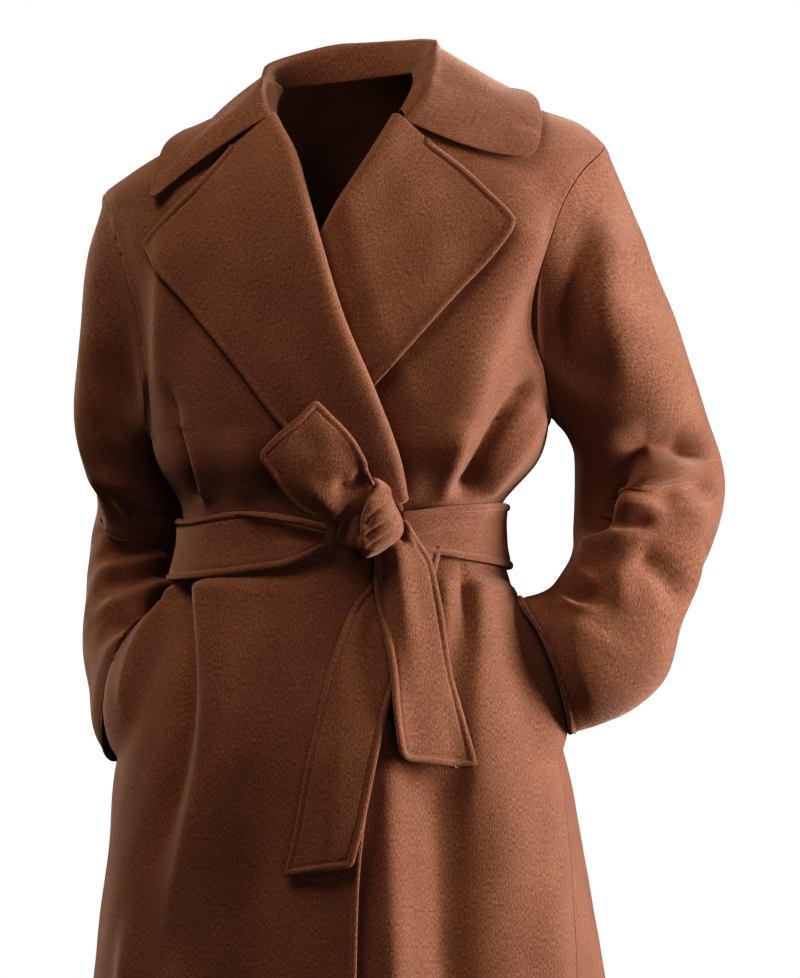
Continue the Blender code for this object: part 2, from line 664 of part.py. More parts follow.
# ---------------------------------------------------------------- collar
# Stations from the collar's right end, round the back of the neck, to its left end. Each crosses the
# collar from its foot at the neck seam, over the fold, to its free edge.
COLLAR = table(
    "bearing  level   fold_x  fold_y  fold_z   edge_x  edge_y  edge_z   puff",
    (-38.0, -0.027, -0.074, -0.099, -0.034, -0.192, -0.097, -0.120, 0.004),
    (-46.0, -0.018, -0.080, -0.084, -0.016, -0.193, -0.082, -0.101, 0.007),
    (-60.0, -0.006, -0.083, -0.052, -0.002, -0.182, -0.050, -0.081, 0.008),
    (-90.0, 0.008, -0.083, -0.006, 0.009, -0.170, -0.004, -0.062, 0.007),
    (-122.0, 0.008, -0.072, 0.040, 0.020, -0.140, 0.068, -0.070, 0.010),
    (-150.0, 0.008, -0.044, 0.072, 0.032, -0.080, 0.118, -0.078, 0.014),
    (-180.0, 0.008, 0.000, 0.084, 0.041, 0.000, 0.132, -0.072, 0.015),
    (-210.0, 0.008, 0.048, 0.073, 0.044, 0.090, 0.120, -0.060, 0.014),
    (-238.0, 0.008, 0.078, 0.040, 0.042, 0.152, 0.070, -0.042, 0.008),
    (-270.0, 0.008, 0.089, -0.006, 0.036, 0.182, -0.004, -0.018, 0.002),
    (-300.0, -0.006, 0.090, -0.048, 0.016, 0.192, -0.050, -0.032, 0.006),
    (-317.0, -0.026, 0.080, -0.080, -0.012, 0.197, -0.082, -0.052, 0.007),
    (-326.0, -0.035, 0.063, -0.099, -0.035, 0.188, -0.100, -0.074, 0.004),
)
COLLAR_COLUMNS = 22
STAND_ROWS = 2
FALL_ROWS = 5
COLLAR_CLEARANCE = 0.0105
FOOT_CLEARANCE = 0.0098  # between the collar's foot and the fronts' edges
STAND_RISE = 0.014  # the stand leaves its seam straight up before it leans back


def collar_foot(bearing, level):
    """The neck seam: on top of the neck edge behind, and beside the fronts' edges in front."""
    right = bearing_at(between(EDGE_RIGHT["level"], EDGE_RIGHT["x"], level), level)
    left = bearing_at(between(EDGE_LEFT["level"], EDGE_LEFT["x"], level), level)
    in_front = level < NECK - 0.0005
    bearing = np.where(in_front, np.where(bearing > -180.0, right, left), bearing)
    seam = body(bearing, level, -CLOTH)
    beside = in_front[:, None].astype(float)
    inwards = -seam * [1.0, 1.0, 0.0]
    inwards /= np.linalg.norm(inwards, axis=-1, keepdims=True)
    up = np.array([0.0, 0.0, 1.0])
    rise = up * (1 - beside) + outward(bearing, level) * beside
    return seam + 3 * SEAM_GAP * up + beside * (CLOTH + FOOT_CLEARANCE) * inwards, STAND_RISE * rise


def collar():
    """Stand and fall in one piece: up from the neck seam, over the fold and down on the shoulders."""
    at = np.arange(len(COLLAR["puff"]), dtype=float)
    where = np.linspace(0.0, at[-1], COLLAR_COLUMNS + 1)
    row = {name: between(at, COLLAR[name], where) for name in COLLAR}
    fold, edge = (np.stack([row[part + "_" + c] for c in "xyz"], axis=-1) for part in ("fold", "edge"))
    foot, rise = collar_foot(row["bearing"], np.minimum(row["level"], NECK))
    share = np.linspace(0.0, 1.0, STAND_ROWS + 1)[:-1, None, None]
    stand = foot * (1 - share) ** 2 + 2 * (foot + rise) * share * (1 - share) + fold * share**2
    share = np.linspace(0.0, 1.0, FALL_ROWS + 1)[:, None, None]
    outwards = np.stack([row["fold_x"], row["fold_y"], np.full_like(where, 0.06)], axis=-1)
    outwards /= np.linalg.norm(outwards, axis=-1, keepdims=True)
    fall = fold * (1 - share) + edge * share + 4 * share * (1 - share) * row["puff"][:, None] * outwards
    fall = clear_of_body(fall, COLLAR_CLEARANCE)
    points = np.concatenate([stand, fall])[::-1]
    return shell_object("collar", points, points - CLOTH * grid_normals(points))


# ---------------------------------------------------------------- belt
BELT_CLOTH = 0.0040  # the belt is two thicknesses, turned in and stitched
BELT_LIFT = 0.0072  # the belt's outer face stands this far off the form
BELT_COLUMNS = 28
BELT_ROWS = 3
# The band round the waist, from the knot's left round the back to its right
BELT_BAND = table(
    "bearing  top     bottom",
    (24.0, -0.424, -0.464),
    (42.0, -0.420, -0.471),
    (70.0, -0.417, -0.481),
    (110.0, -0.420, -0.488),
    (180.0, -0.426, -0.494),
    (260.0, -0.432, -0.497),
    (290.0, -0.433, -0.496),
    (320.0, -0.424, -0.488),
    (340.0, -0.430, -0.478),
    (352.0, -0.437, -0.462),
)


def belt_band():
    """The belt round the waist, gathered towards the knot."""
    bearing = np.linspace(BELT_BAND["bearing"][0], BELT_BAND["bearing"][-1], BELT_COLUMNS + 1)
    top = between(BELT_BAND["bearing"], BELT_BAND["top"], bearing)
    bottom = between(BELT_BAND["bearing"], BELT_BAND["bottom"], bearing)
    share = np.linspace(0.0, 1.0, BELT_ROWS + 1)[:, None]
    level = bottom * (1 - share) + top * share
    bearing = np.broadcast_to(bearing, level.shape)
    near_knot = np.minimum(bearing - bearing[0, 0], bearing[0, -1] - bearing)
    lift = BELT_LIFT + 0.006 * (1 - ease(0.0, 30.0, near_knot))
    return shell_object("belt_waist", body(bearing, level, lift), body(bearing, level, lift - BELT_CLOTH))


# The free ends: rungs across each, from the knot to the tip, with how far each edge stands off the form
BELT_ENDS = {
    "belt_end_up": table(
        "first_x first_z second_x second_z first_off second_off",
        (-0.011, -0.423, 0.013, -0.391, 0.030, 0.042),
        (-0.022, -0.414, 0.016, -0.372, 0.030, 0.045),
        (-0.042, -0.398, 0.000, -0.345, 0.026, 0.040),
        (-0.075, -0.365, -0.026, -0.314, 0.024, 0.034),
    ),
    "belt_end_front": table(
        "first_x first_z second_x second_z first_off second_off",
        (0.030, -0.484, 0.068, -0.456, 0.026, 0.024),
        (0.031, -0.500, 0.081, -0.486, 0.024, 0.022),
        (0.035, -0.540, 0.090, -0.520, 0.021, 0.020),
        (0.044, -0.600, 0.102, -0.584, 0.017, 0.016),
        (0.050, -0.650, 0.114, -0.640, 0.014, 0.013),
        (0.060, -0.672, 0.124, -0.679, 0.013, 0.012),
    ),
    "belt_end_back": table(
        "first_x first_z second_x second_z first_off second_off",
        (0.014, -0.487, 0.044, -0.485, 0.013, 0.013),
        (0.005, -0.530, 0.046, -0.530, 0.008, 0.008),
        (-0.013, -0.575, 0.040, -0.590, 0.007, 0.007),
        (-0.026, -0.630, 0.032, -0.650, 0.009, 0.009),
        (-0.035, -0.690, 0.026, -0.710, 0.009, 0.009),
        (-0.050, -0.750, 0.018, -0.752, 0.009, 0.009),
        (-0.059, -0.786, 0.010, -0.777, 0.009, 0.009),
    ),
}
END_ROWS = 9
END_COLUMNS = 3
END_ARCH = 0.004  # the ends are rounded across


def belt_end(name):
    """One free end of the belt."""
    rungs = BELT_ENDS[name]
    at = np.arange(len(rungs["first_x"]), dtype=float)
    where = np.linspace(0.0, at[-1], END_ROWS + 1)
    row = {column: between(at, rungs[column], where)[:, None] for column in rungs}
    share = np.linspace(0.0, 1.0, END_COLUMNS + 1)
    across = {c: row["first_" + c] * (1 - share) + row["second_" + c] * share for c in ("x", "z", "off")}
    under = np.maximum(panel_rise("right", across["x"], across["z"]), 0.0)
    lift = across["off"] + 4 * END_ARCH * share * (1 - share) + under
    points = on_front(across["x"], across["z"], lift)
    if name != "belt_end_up":
        points = points[::-1]
    return shell_object(name, points, points - BELT_CLOTH * grid_normals(points))


# The knot: a barrel of wound belt, and the turn of belt that holds it
KNOT_MIDDLE = np.array([0.030, -0.166, -0.440])
KNOT_AXIS = np.array([0.42, 0.0, 0.91])  # its top leans to the wearer's left
KNOT_ACROSS = np.array([0.91, 0.0, -0.42])
FORWARD = np.array([0.0, -1.0, 0.0])
KNOT_HALF_LENGTH = 0.040
KNOT_HALF_WIDTH = 0.023
KNOT_HALF_DEPTH = 0.017
KNOT_SIDES = 14
KNOT_RINGS = 8


def knot_ring(place, grow):
    """A ring of points round the knot's axis, place metres along it and grown by so much."""
    share = np.clip(np.abs(place) / KNOT_HALF_LENGTH, 0.0, 1.0)
    size = (1 - share**2) ** 0.35
    turn = np.linspace(0.0, 2 * math.pi, KNOT_SIDES + 1)[:-1, None]
    across = (KNOT_HALF_WIDTH * size + grow) * np.cos(turn) * KNOT_ACROSS
    return KNOT_MIDDLE + place * KNOT_AXIS + across + (KNOT_HALF_DEPTH * size + grow) * np.sin(turn) * FORWARD


def knot_core():
    """The barrel: rings from its foot to its head, closed by a point at each end."""
    name = "belt_knot"
    places = -KNOT_HALF_LENGTH * np.cos(np.linspace(0.0, math.pi, KNOT_RINGS + 1))[1:-1]
    rings = [knot_ring(place, 0.0) for place in places]
    ends = [KNOT_MIDDLE - KNOT_HALF_LENGTH * KNOT_AXIS, KNOT_MIDDLE + KNOT_HALF_LENGTH * KNOT_AXIS]
    mesh = bmesh.new()
    foot = mesh.verts.new(ends[0])
    loops = [[mesh.verts.new(point) for point in ring] for ring in rings]
    head = mesh.verts.new(ends[1])
    for k in range(KNOT_SIDES):
        after = (k + 1) % KNOT_SIDES
        mesh.faces.new((foot, loops[0][after], loops[0][k]))
        mesh.faces.new((head, loops[-1][k], loops[-1][after]))
        for low, high in zip(loops, loops[1:]):
            mesh.faces.new((low[k], low[after], high[after], high[k]))
    bmesh.ops.recalc_face_normals(mesh, faces=mesh.faces)
    data = bpy.data.meshes.new(name)
    mesh.to_mesh(data)
    mesh.free()
    data.shade_smooth()
    data.materials.append(wool(name))
    piece = bpy.data.objects.new(name, data)
    bpy.context.scene.collection.objects.link(piece)
    return piece


WRAP_PLACES = (-0.006, 0.002, 0.012, 0.020)  # along the knot's axis
WRAP_CLEARANCE = 0.0018
WRAP_LEAN = 0.35  # how far the turn slopes across the barrel


def knot_wrap():
    """The turn of belt round the barrel, a short sleeve of cloth that slopes across it."""
    turn = np.linspace(0.0, 2 * math.pi, KNOT_SIDES + 1)[:-1, None]
    slope = WRAP_LEAN * KNOT_HALF_WIDTH * np.cos(turn) * KNOT_AXIS
    outer = np.stack([knot_ring(place, WRAP_CLEARANCE + BELT_CLOTH) + slope for place in WRAP_PLACES])
    inner = np.stack([knot_ring(place, WRAP_CLEARANCE) + slope for place in WRAP_PLACES])
    return shell_object("belt_wrap", outer[::-1], inner[::-1], closed=True)


lapel("right")
lapel("left")
collar()
belt_band()
for end in BELT_ENDS:
    belt_end(end)
knot_core()
knot_wrap()
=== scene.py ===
"""The looks of a wool wrap coat: soft double-faced wool with folds, turned edges, seams and a knotted belt.

Metres, +Z up. The coat faces -Y, and +X is the wearer's left. Nobody wears it: it keeps the hollow shape that
its cut takes on a general figure, with one shoulder a little higher and both cuffs at the side pockets.
"""

import math

import bpy
import numpy as np
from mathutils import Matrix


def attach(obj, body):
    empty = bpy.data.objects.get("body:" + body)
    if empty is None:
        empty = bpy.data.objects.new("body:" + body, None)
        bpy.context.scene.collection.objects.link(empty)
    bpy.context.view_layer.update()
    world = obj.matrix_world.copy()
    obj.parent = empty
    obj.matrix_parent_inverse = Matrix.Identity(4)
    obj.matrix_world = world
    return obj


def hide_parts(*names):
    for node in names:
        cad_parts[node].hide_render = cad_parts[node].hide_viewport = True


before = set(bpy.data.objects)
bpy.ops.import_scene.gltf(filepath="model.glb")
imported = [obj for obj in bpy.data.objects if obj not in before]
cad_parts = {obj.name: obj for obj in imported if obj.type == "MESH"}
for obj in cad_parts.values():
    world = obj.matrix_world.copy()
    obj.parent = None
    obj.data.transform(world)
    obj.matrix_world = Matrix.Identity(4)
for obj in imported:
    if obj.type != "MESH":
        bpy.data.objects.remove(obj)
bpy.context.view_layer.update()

# ================================================================ the wool
# Double-faced wool: two woollen cloths woven as one, milled and brushed until a short felted nap hides the
# weave. Edges are turned in and sewn by hand, so no raw edge and no lining shows. It is dull and soft, with
# a mottled nap that runs down each piece and a light bloom where the cloth turns away.
CLOTH = 0.0026
WOOL_DEEP = "#654838"
WOOL_BROWN = "#805C48"
WOOL_PALE = "#99705A"
BLOOM = "#F0CDB8"
NAP_LENGTH = 0.0036  # a tuft of nap, drawn a little long so that it shows
NAP_WIDTH = 0.0010
FLECK = 0.0009  # single fibres
CLOUD = 0.045  # slow changes where the nap was brushed unevenly
FLECK_SHARE = 0.30  # how much of the mottling the fibres make, over the tufts
CLOUD_SHARE = 0.22  # and the clouds, over both
FLECK_RISE = 0.35  # how much of the nap's height is single fibres
NAP_RISE = 0.0009  # how far the tufts stand up
NAP_STRENGTH = 0.60


def linear(colour):
    """An sRGB hex colour as linear red, green, blue and alpha."""
    parts = [int(colour[k : k + 2], 16) / 255 for k in (1, 3, 5)]
    return [((v + 0.055) / 1.055) ** 2.4 if v > 0.04045 else v / 12.92 for v in parts] + [1.0]


def add(tree, kind, inputs=None, **settings):
    """Adds a node, with its settings, and its inputs as values or as links from other nodes' outputs."""
    node = tree.nodes.new(kind)
    for name, value in settings.items():
        setattr(node, name, value)
    for socket, value in (inputs or {}).items():
        if isinstance(value, bpy.types.NodeSocket):
            tree.links.new(value, node.inputs[socket])
        else:
            node.inputs[socket].default_value = value
    return node


def nap_noise(tree, cut, across, along, detail):
    """Noise whose grain has a real width and length on the cut's own map."""
    stretched = add(tree, "ShaderNodeMapping", {"Vector": cut, "Scale": (1 / across, 1 / along, 1.0)})
    grain = {"Vector": stretched.outputs["Vector"], "Scale": 1.0, "Detail": detail, "Roughness": 0.6}
    return add(tree, "ShaderNodeTexNoise", grain, noise_dimensions="2D").outputs["Fac"]


def ramp(tree, fac, low, high, dark, light):
    """A number kept between two others as the noise runs from low to high."""
    values = {"Value": fac, "From Min": low, "From Max": high, "To Min": dark, "To Max": light}
    return add(tree, "ShaderNodeMapRange", values).outputs["Result"]


def mixed(tree, share, one, other):
    """One number mixed into another by a share."""
    return add(tree, "ShaderNodeMix", {0: share, 2: one, 3: other}, data_type="FLOAT").outputs[0]


def wool_material():
    """Milled and brushed double-faced wool."""
    material = bpy.data.materials.new("brushed_double_faced_wool")
    material.use_nodes = True
    tree = material.node_tree
    shader = tree.nodes["Principled BSDF"]
    cut = add(tree, "ShaderNodeUVMap", uv_map="cut").outputs["UV"]
    tufts = nap_noise(tree, cut, NAP_WIDTH, NAP_LENGTH, 3.0)
    flecks = nap_noise(tree, cut, FLECK, FLECK * 1.6, 2.0)
    clouds = nap_noise(tree, cut, CLOUD, CLOUD * 1.6, 3.0)
    tuft_shade = ramp(tree, tufts, 0.30, 0.70, 0.0, 1.0)
    mottle = mixed(tree, FLECK_SHARE, tuft_shade, flecks)
    mottle = mixed(tree, CLOUD_SHARE, mottle, clouds)
    colours = add(tree, "ShaderNodeValToRGB", {"Fac": mottle})
    colours.color_ramp.elements[0].position = 0.22
    colours.color_ramp.elements[0].color = linear(WOOL_DEEP)
    colours.color_ramp.elements[1].position = 0.80
    colours.color_ramp.elements[1].color = linear(WOOL_PALE)
    middle = colours.color_ramp.elements.new(0.50)
    middle.color = linear(WOOL_BROWN)
    tree.links.new(colours.outputs["Color"], shader.inputs["Base Color"])
    height = mixed(tree, FLECK_RISE, tuft_shade, flecks)
    bump = add(tree, "ShaderNodeBump", {"Strength": NAP_STRENGTH, "Distance": NAP_RISE, "Height": height})
    tree.links.new(bump.outputs["Normal"], shader.inputs["Normal"])
    shader.inputs["Roughness"].default_value = 0.92
    shader.inputs["Specular IOR Level"].default_value = 0.18
    shader.inputs["Sheen Weight"].default_value = 0.62
    shader.inputs["Sheen Roughness"].default_value = 0.45
    shader.inputs["Sheen Tint"].default_value = linear(BLOOM)
    return material


WOOL = wool_material()


def hops(points, axis=0):
    """The lengths of the steps from point to point of a grid."""
    before = np.take(points, [0], axis=axis)
    return np.linalg.norm(np.diff(points, axis=axis, prepend=before), axis=-1)


def unit(vectors):
    """Vectors of length one."""
    return vectors / np.linalg.norm(vectors, axis=-1, keepdims=True)


def cloth_object(name, outer, inner, closed=False):
    """One closed shell between two grids of points, with a map of the cut in metres for the nap."""
    rows, columns = outer.shape[:2]
    strips = columns if closed else columns - 1
    r, c = (k.ravel() for k in np.meshgrid(np.arange(rows - 1), np.arange(strips), indexing="ij"))
    face_rows = np.stack([r, r, r + 1, r + 1], axis=1)
    face_columns = np.stack([c, c + 1, c + 1, c], axis=1)
    face = face_rows * columns + face_columns % columns
    wall = rows * columns
    ends = np.arange(strips)
    after = (ends + 1) % columns
    top = (rows - 1) * columns
    rims = [np.stack([after, ends, wall + ends, wall + after], axis=1)]
    rims.append(np.stack([top + ends, top + after, wall + top + after, wall + top + ends], axis=1))
    if not closed:
        low = np.arange(rows - 1) * columns
        high = low + columns
        last = columns - 1
        rims.append(np.stack([low, high, wall + high, wall + low], axis=1))
        rims.append(np.stack([high + last, low + last, wall + low + last, wall + high + last], axis=1))
    rims = np.concatenate(rims)
    points = np.concatenate([outer.reshape(-1, 3), inner.reshape(-1, 3)])
    faces = np.concatenate([face, wall + face[:, ::-1], rims])
    mesh = bpy.data.meshes.new(name)
    mesh.from_pydata(points.tolist(), [], faces.tolist())
    round_trip = np.concatenate([outer, outer[:, :1]], axis=1) if closed else outer
    across = np.cumsum(hops(round_trip, axis=1), axis=1)
    across -= across[:, across.shape[1] // 2, None]
    along = np.cumsum(hops(outer).mean(axis=1))
    flat = np.stack([across, np.broadcast_to(along[:, None], across.shape)], axis=-1)
    face_map = flat[face_rows, face_columns]
    rim_points = rims % wall
    rim_map = flat[rim_points // columns, rim_points % columns]
    loops = np.concatenate([face_map, face_map[:, ::-1], rim_map]).reshape(-1)
    mesh.uv_layers.new(name="cut").data.foreach_set("uv", loops)
    mesh.shade_smooth()
    mesh.materials.append(WOOL)
    piece = bpy.data.objects.new(name, mesh)
    bpy.context.scene.collection.objects.link(piece)
    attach(piece, "root")
    return piece


def grid_normals(points, closed=False):
    """Unit normals of a grid of points, which point out where its columns run anticlockwise from above."""
    if closed:
        across = np.roll(points, -1, axis=1) - np.roll(points, 1, axis=1)
    else:
        across = np.gradient(points, axis=1)
    normal = np.cross(across, np.gradient(points, axis=0))
    return normal / np.maximum(np.linalg.norm(normal, axis=-1, keepdims=True), 1e-12)


EDGE_ROUND = 0.0016  # the turned-in edge is rounded over this
EDGE_PUFF = 0.0011  # it swells between the fold and the sewing
EDGE_SEWN = 0.0075  # the hand sewing lies this far in
EDGE_DIP = 0.0009  # and the sewing draws it in
SEWN_WIDTH = 0.0013
PINCH = 0.44  # the share of the cloth that each face gives up at a turned edge


def rounding(gap, radius):
    """How far gone an edge is, from 0 at its radius inside it to 1 at its brink."""
    over = np.clip(1 - gap / radius, 0.0, 1.0)
    return 1 - np.sqrt(1 - over**2)


def turned_edge(gap):
    """How far the outer face moves out near an edge, and how far the two faces draw together."""
    closing = rounding(gap, EDGE_ROUND) * CLOTH * PINCH
    puff = EDGE_PUFF * np.sin(math.pi * np.clip(gap / EDGE_SEWN, 0.0, 1.0))
    dip = EDGE_DIP * np.exp(-(((gap - EDGE_SEWN) / SEWN_WIDTH) ** 2))
    return puff - dip, closing


def nearest(points, path, normals=None):
    """Distance from points to a path, the share of the path reached there and, with normals, the side."""
    steps = len(path) - 1
    least = np.full(points.shape[:-1], np.inf)
    place = np.zeros(points.shape[:-1])
    side = np.ones(points.shape[:-1])
    for k in range(steps):
        start, span = path[k], path[k + 1] - path[k]
        away = points - start
        share = np.clip(away @ span / max(span @ span, 1e-12), 0.0, 1.0)
        away = away - share[..., None] * span
        gap = np.linalg.norm(away, axis=-1)
        nearer = gap < least
        least = np.where(nearer, gap, least)
        place = np.where(nearer, (k + share) / steps, place)
        if normals is not None:
            side = np.where(nearer, (np.cross(normals, span) * away).sum(axis=-1), side)
    return least, place, side


def turned_cloth(name, points, normals, from_edge, thickness=CLOTH):
    """A sheet with turned edges: a shell between its two faces, under the name of the CAD node it replaces."""
    puff, closing = turned_edge(from_edge)
    outside = points + (puff - closing)[..., None] * normals
    inside = points - (thickness - closing)[..., None] * normals
    piece = cloth_object(name + "_cloth", outside, inside)
    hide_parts(name)
    return piece


# ================================================================ the body's form
# Fronts and back hang from the shoulders over one smooth form: wide flat shoulders, a belted waist and a
# skirt that flares to the hem. The form is given as sections, with half widths to the wearer's right and
# left, depths before and behind the sleeve line, and a climb towards the raised left shoulder.
HEM = -1.12
POCKET_FOOT = -0.672
POCKET_HEAD = -0.515
BELT = -0.455
ARMPIT = -0.34
SHOULDER_TIP = -0.0845
NECK = 0.008
SQUARENESS = 2.3  # how square the sections are, from 2 for an ellipse
MILLIMETRES = 1000  # to the metre


def table(columns, *rows):
    """A table as a dictionary of named columns: sizes in millimetres, and plain numbers after the bar."""
    sizes, _, plain = columns.partition("|")
    units = [MILLIMETRES] * len(sizes.split()) + [1] * len(plain.split())
    values = np.array(rows, float).T
    return {name: value / unit for name, value, unit in zip((sizes + plain).split(), values, units)}


BODY = table(
    "level right left front back | tilt",
    (-1120, 270, 282, 200, 190, 0),
    (-980, 259, 269, 192, 183, 0),
    (-893, 251, 259, 186, 177, 0),
    (-760, 238, 238, 174, 168, 0),
    (-660, 224, 217, 163, 158, 0),
    (-580, 197, 194, 152, 143, 0),
    (-510, 176, 170, 134, 117, 0),
    (-455, 162, 155, 122, 101, 0),
    (-418, 164, 158, 127, 108, 0.005),
    (-380, 184, 192, 146, 130, 0.02),
    (-330, 197, 206, 152, 140, 0.04),
    (-240, 212, 222, 151, 142, 0.065),
    (-160, 232, 246, 141, 138, 0.08),
    (-110, 240, 260, 128, 130, 0.087),
    (-84.5, 238, 260, 118, 122, 0.09),
    (-71, 219, 245, 112, 118, 0.094),
    (-58, 197, 226, 106, 113, 0.098),
    (-46, 171, 200, 100, 108, 0.1),
    (-34, 143, 169, 93, 102, 0.105),
    (-20, 113, 132, 85, 96, 0.11),
    (-6, 90, 104, 75, 88, 0.115),
    (8, 74, 84, 64, 78, 0.12),
)

# Bearings of the side seams, in degrees from the centre front
SIDE_SEAMS = table(
    "level | right left",
    (-1120, -99, 63),
    (-893, -96, 66),
    (-667, -90, 76),
    (-515, -88, 80),
    (-455, -89, 83),
    (-340, -90, 90),
)

# How far round from the shoulder each armhole reaches, in degrees
ARMHOLE_REACH = {"right": {"front": 17.0, "back": 22.0}, "left": {"front": 26.0, "back": 22.0}}

# The front edge of the upper front: its roll line down to the belt, then the free edge to the hem
EDGE_RIGHT = table(
    "level x",
    (-1120, 8),
    (-893, 12),
    (-776, 16),
    (-640, 34),
    (-500, 54),
    (-427, 58),
    (-402, 52),
    (-313, 21),
    (-243, -8),
    (-170, -30),
    (-114, -45),
    (-67, -59),
    (-43, -71),
    (0, -78),
    (8, -71),
)

# The same edge of the front that lies underneath
EDGE_LEFT = table(
    "level x",
    (-1120, -105),
    (-500, -105),
    (-420, -108),
    (-300, -94),
    (-240, -70),
    (-170, -30),
    (-114, 10),
    (-67, 43),
    (-42, 59),
    (0, 82),
    (8, 80),
)


def between(at, values, where):
    """A smooth cubic through the rows of a table."""
    where = np.asarray(where, float)
    slope = np.gradient(values, at)
    k = np.clip(np.searchsorted(at, where, side="right") - 1, 0, len(at) - 2)
    step = at[k + 1] - at[k]
    t = np.clip((where - at[k]) / step, 0.0, 1.0)
    start = (2 * t**3 - 3 * t**2 + 1) * values[k] + (t**3 - 2 * t**2 + t) * step * slope[k]
    end = (3 * t**2 - 2 * t**3) * values[k + 1] + (t**3 - t**2) * step * slope[k + 1]
    return start + end


def ease(low, high, value):
    """0 below low, 1 above high, and a soft step between."""
    t = np.clip((np.asarray(value, float) - low) / (high - low), 0.0, 1.0)
    return t * t * (3 - 2 * t)


def section(level):
    """The body's sizes at a level."""
    return {name: between(BODY["level"], BODY[name], level) for name in BODY if name != "level"}


def reach(sizes, bearing):
    """Distance of the section's outline from its middle, at a bearing in radians."""
    wide = np.where(np.sin(bearing) < 0, sizes["right"], sizes["left"])
    deep = np.where(np.cos(bearing) > 0, sizes["front"], sizes["back"])
    across = np.abs(np.sin(bearing) / wide) ** SQUARENESS
    along = np.abs(np.cos(bearing) / deep) ** SQUARENESS
    return (across + along) ** (-1 / SQUARENESS)


def form(bearing, level):
    """A point on the body's smooth form: bearing in degrees, 0 at the centre front, 90 at the left side."""
    bearing = np.radians(bearing)
    sizes = section(level)
    far = reach(sizes, bearing)
    x = far * np.sin(bearing)
    return np.stack([x, -far * np.cos(bearing), level + sizes["tilt"] * x], axis=-1)


def outward(bearing, level):
    """The form's unit normal."""
    across = form(bearing + 0.5, level) - form(bearing - 0.5, level)
    up = form(bearing, level + 0.002) - form(bearing, level - 0.002)
    return unit(np.cross(across, up))


def body(bearing, level, lift=0.0):
    """A point of the body, moved out along its normal."""
    bearing, level, lift = np.broadcast_arrays(bearing, level, lift)
    return form(bearing, level) + lift[..., None] * outward(bearing, level)


def level_of(x, z):
    """The level whose section passes through a point seen from the front."""
    level = z
    for _ in range(4):
        level = z - section(np.clip(level, HEM, NECK))["tilt"] * x
    return level


def bearing_at(x, level):
    """The bearing on the front half where the form has this x, found by halving."""
    x, level = np.broadcast_arrays(np.asarray(x, float), level)
    low, high = np.full(x.shape, -89.0), np.full(x.shape, 89.0)
    for _ in range(26):
        middle = (low + high) / 2
        beyond = form(middle, level)[..., 0] > x
        low, high = np.where(beyond, low, middle), np.where(beyond, middle, high)
    return (low + high) / 2


def armhole_level(turn):
    """The armhole's level, from the shoulder at turn 0 to under the arm at half a turn."""
    return (SHOULDER_TIP + ARMPIT) / 2 + (SHOULDER_TIP - ARMPIT) / 2 * np.cos(turn)


def armhole_bearing(side, face, level):
    """Where the armhole's edge crosses a level, on the front or the back."""
    sign = -1.0 if side == "right" else 1.0
    towards_front = 1.0 if face == "front" else -1.0
    half = (SHOULDER_TIP - ARMPIT) / 2
    height = np.clip((level - (SHOULDER_TIP + ARMPIT) / 2) / half, -1.0, 1.0)
    return sign * (90.0 - towards_front * ARMHOLE_REACH[side][face] * np.sqrt(1 - height**2))


def side_bearing(side, face, level):
    """The outer edge of a panel: side seam, then armhole, then shoulder seam."""
    seam = between(SIDE_SEAMS["level"], SIDE_SEAMS[side], level)
    return np.where(level < ARMPIT, seam, armhole_bearing(side, face, level))


WAVES = 16
LONGEST_WAVE = 0.160
SHORTEST_WAVE = 0.035


def uneven(points, height):
    """The slight unevenness of cloth that has been worn: long soft waves in every direction."""
    waves = np.random.default_rng(11).normal(size=(WAVES, 3))
    lengths = np.geomspace(LONGEST_WAVE, SHORTEST_WAVE, WAVES)
    total = np.zeros(points.shape[:-1])
    for k, (wave, length) in enumerate(zip(waves, lengths)):
        wave = wave / np.linalg.norm(wave)
        total += (length / LONGEST_WAVE) * np.sin(points @ wave * 2 * math.pi / length + 1.7 * k)
    return height * total / 2.4


def folds(front, back=()):
    """A table of folds, those seen square on from the front and those seen from behind.

    Each row gives three points that the fold's line passes through, its height, negative for a trough, its
    widths to the left and right hand of someone walking along it, the shares of its length over which it rises
    and dies away, and how sharp it is: 2 for a soft roll, where it isn't given, down to 1 for a crease.
    """
    rows = [(*row, 2)[:12] + (-1,) for row in front] + [(*row, 2)[:12] + (1,) for row in back]
    return table("x0 z0 x1 z1 x2 z2 height left right | rise fall sharp face", *rows)


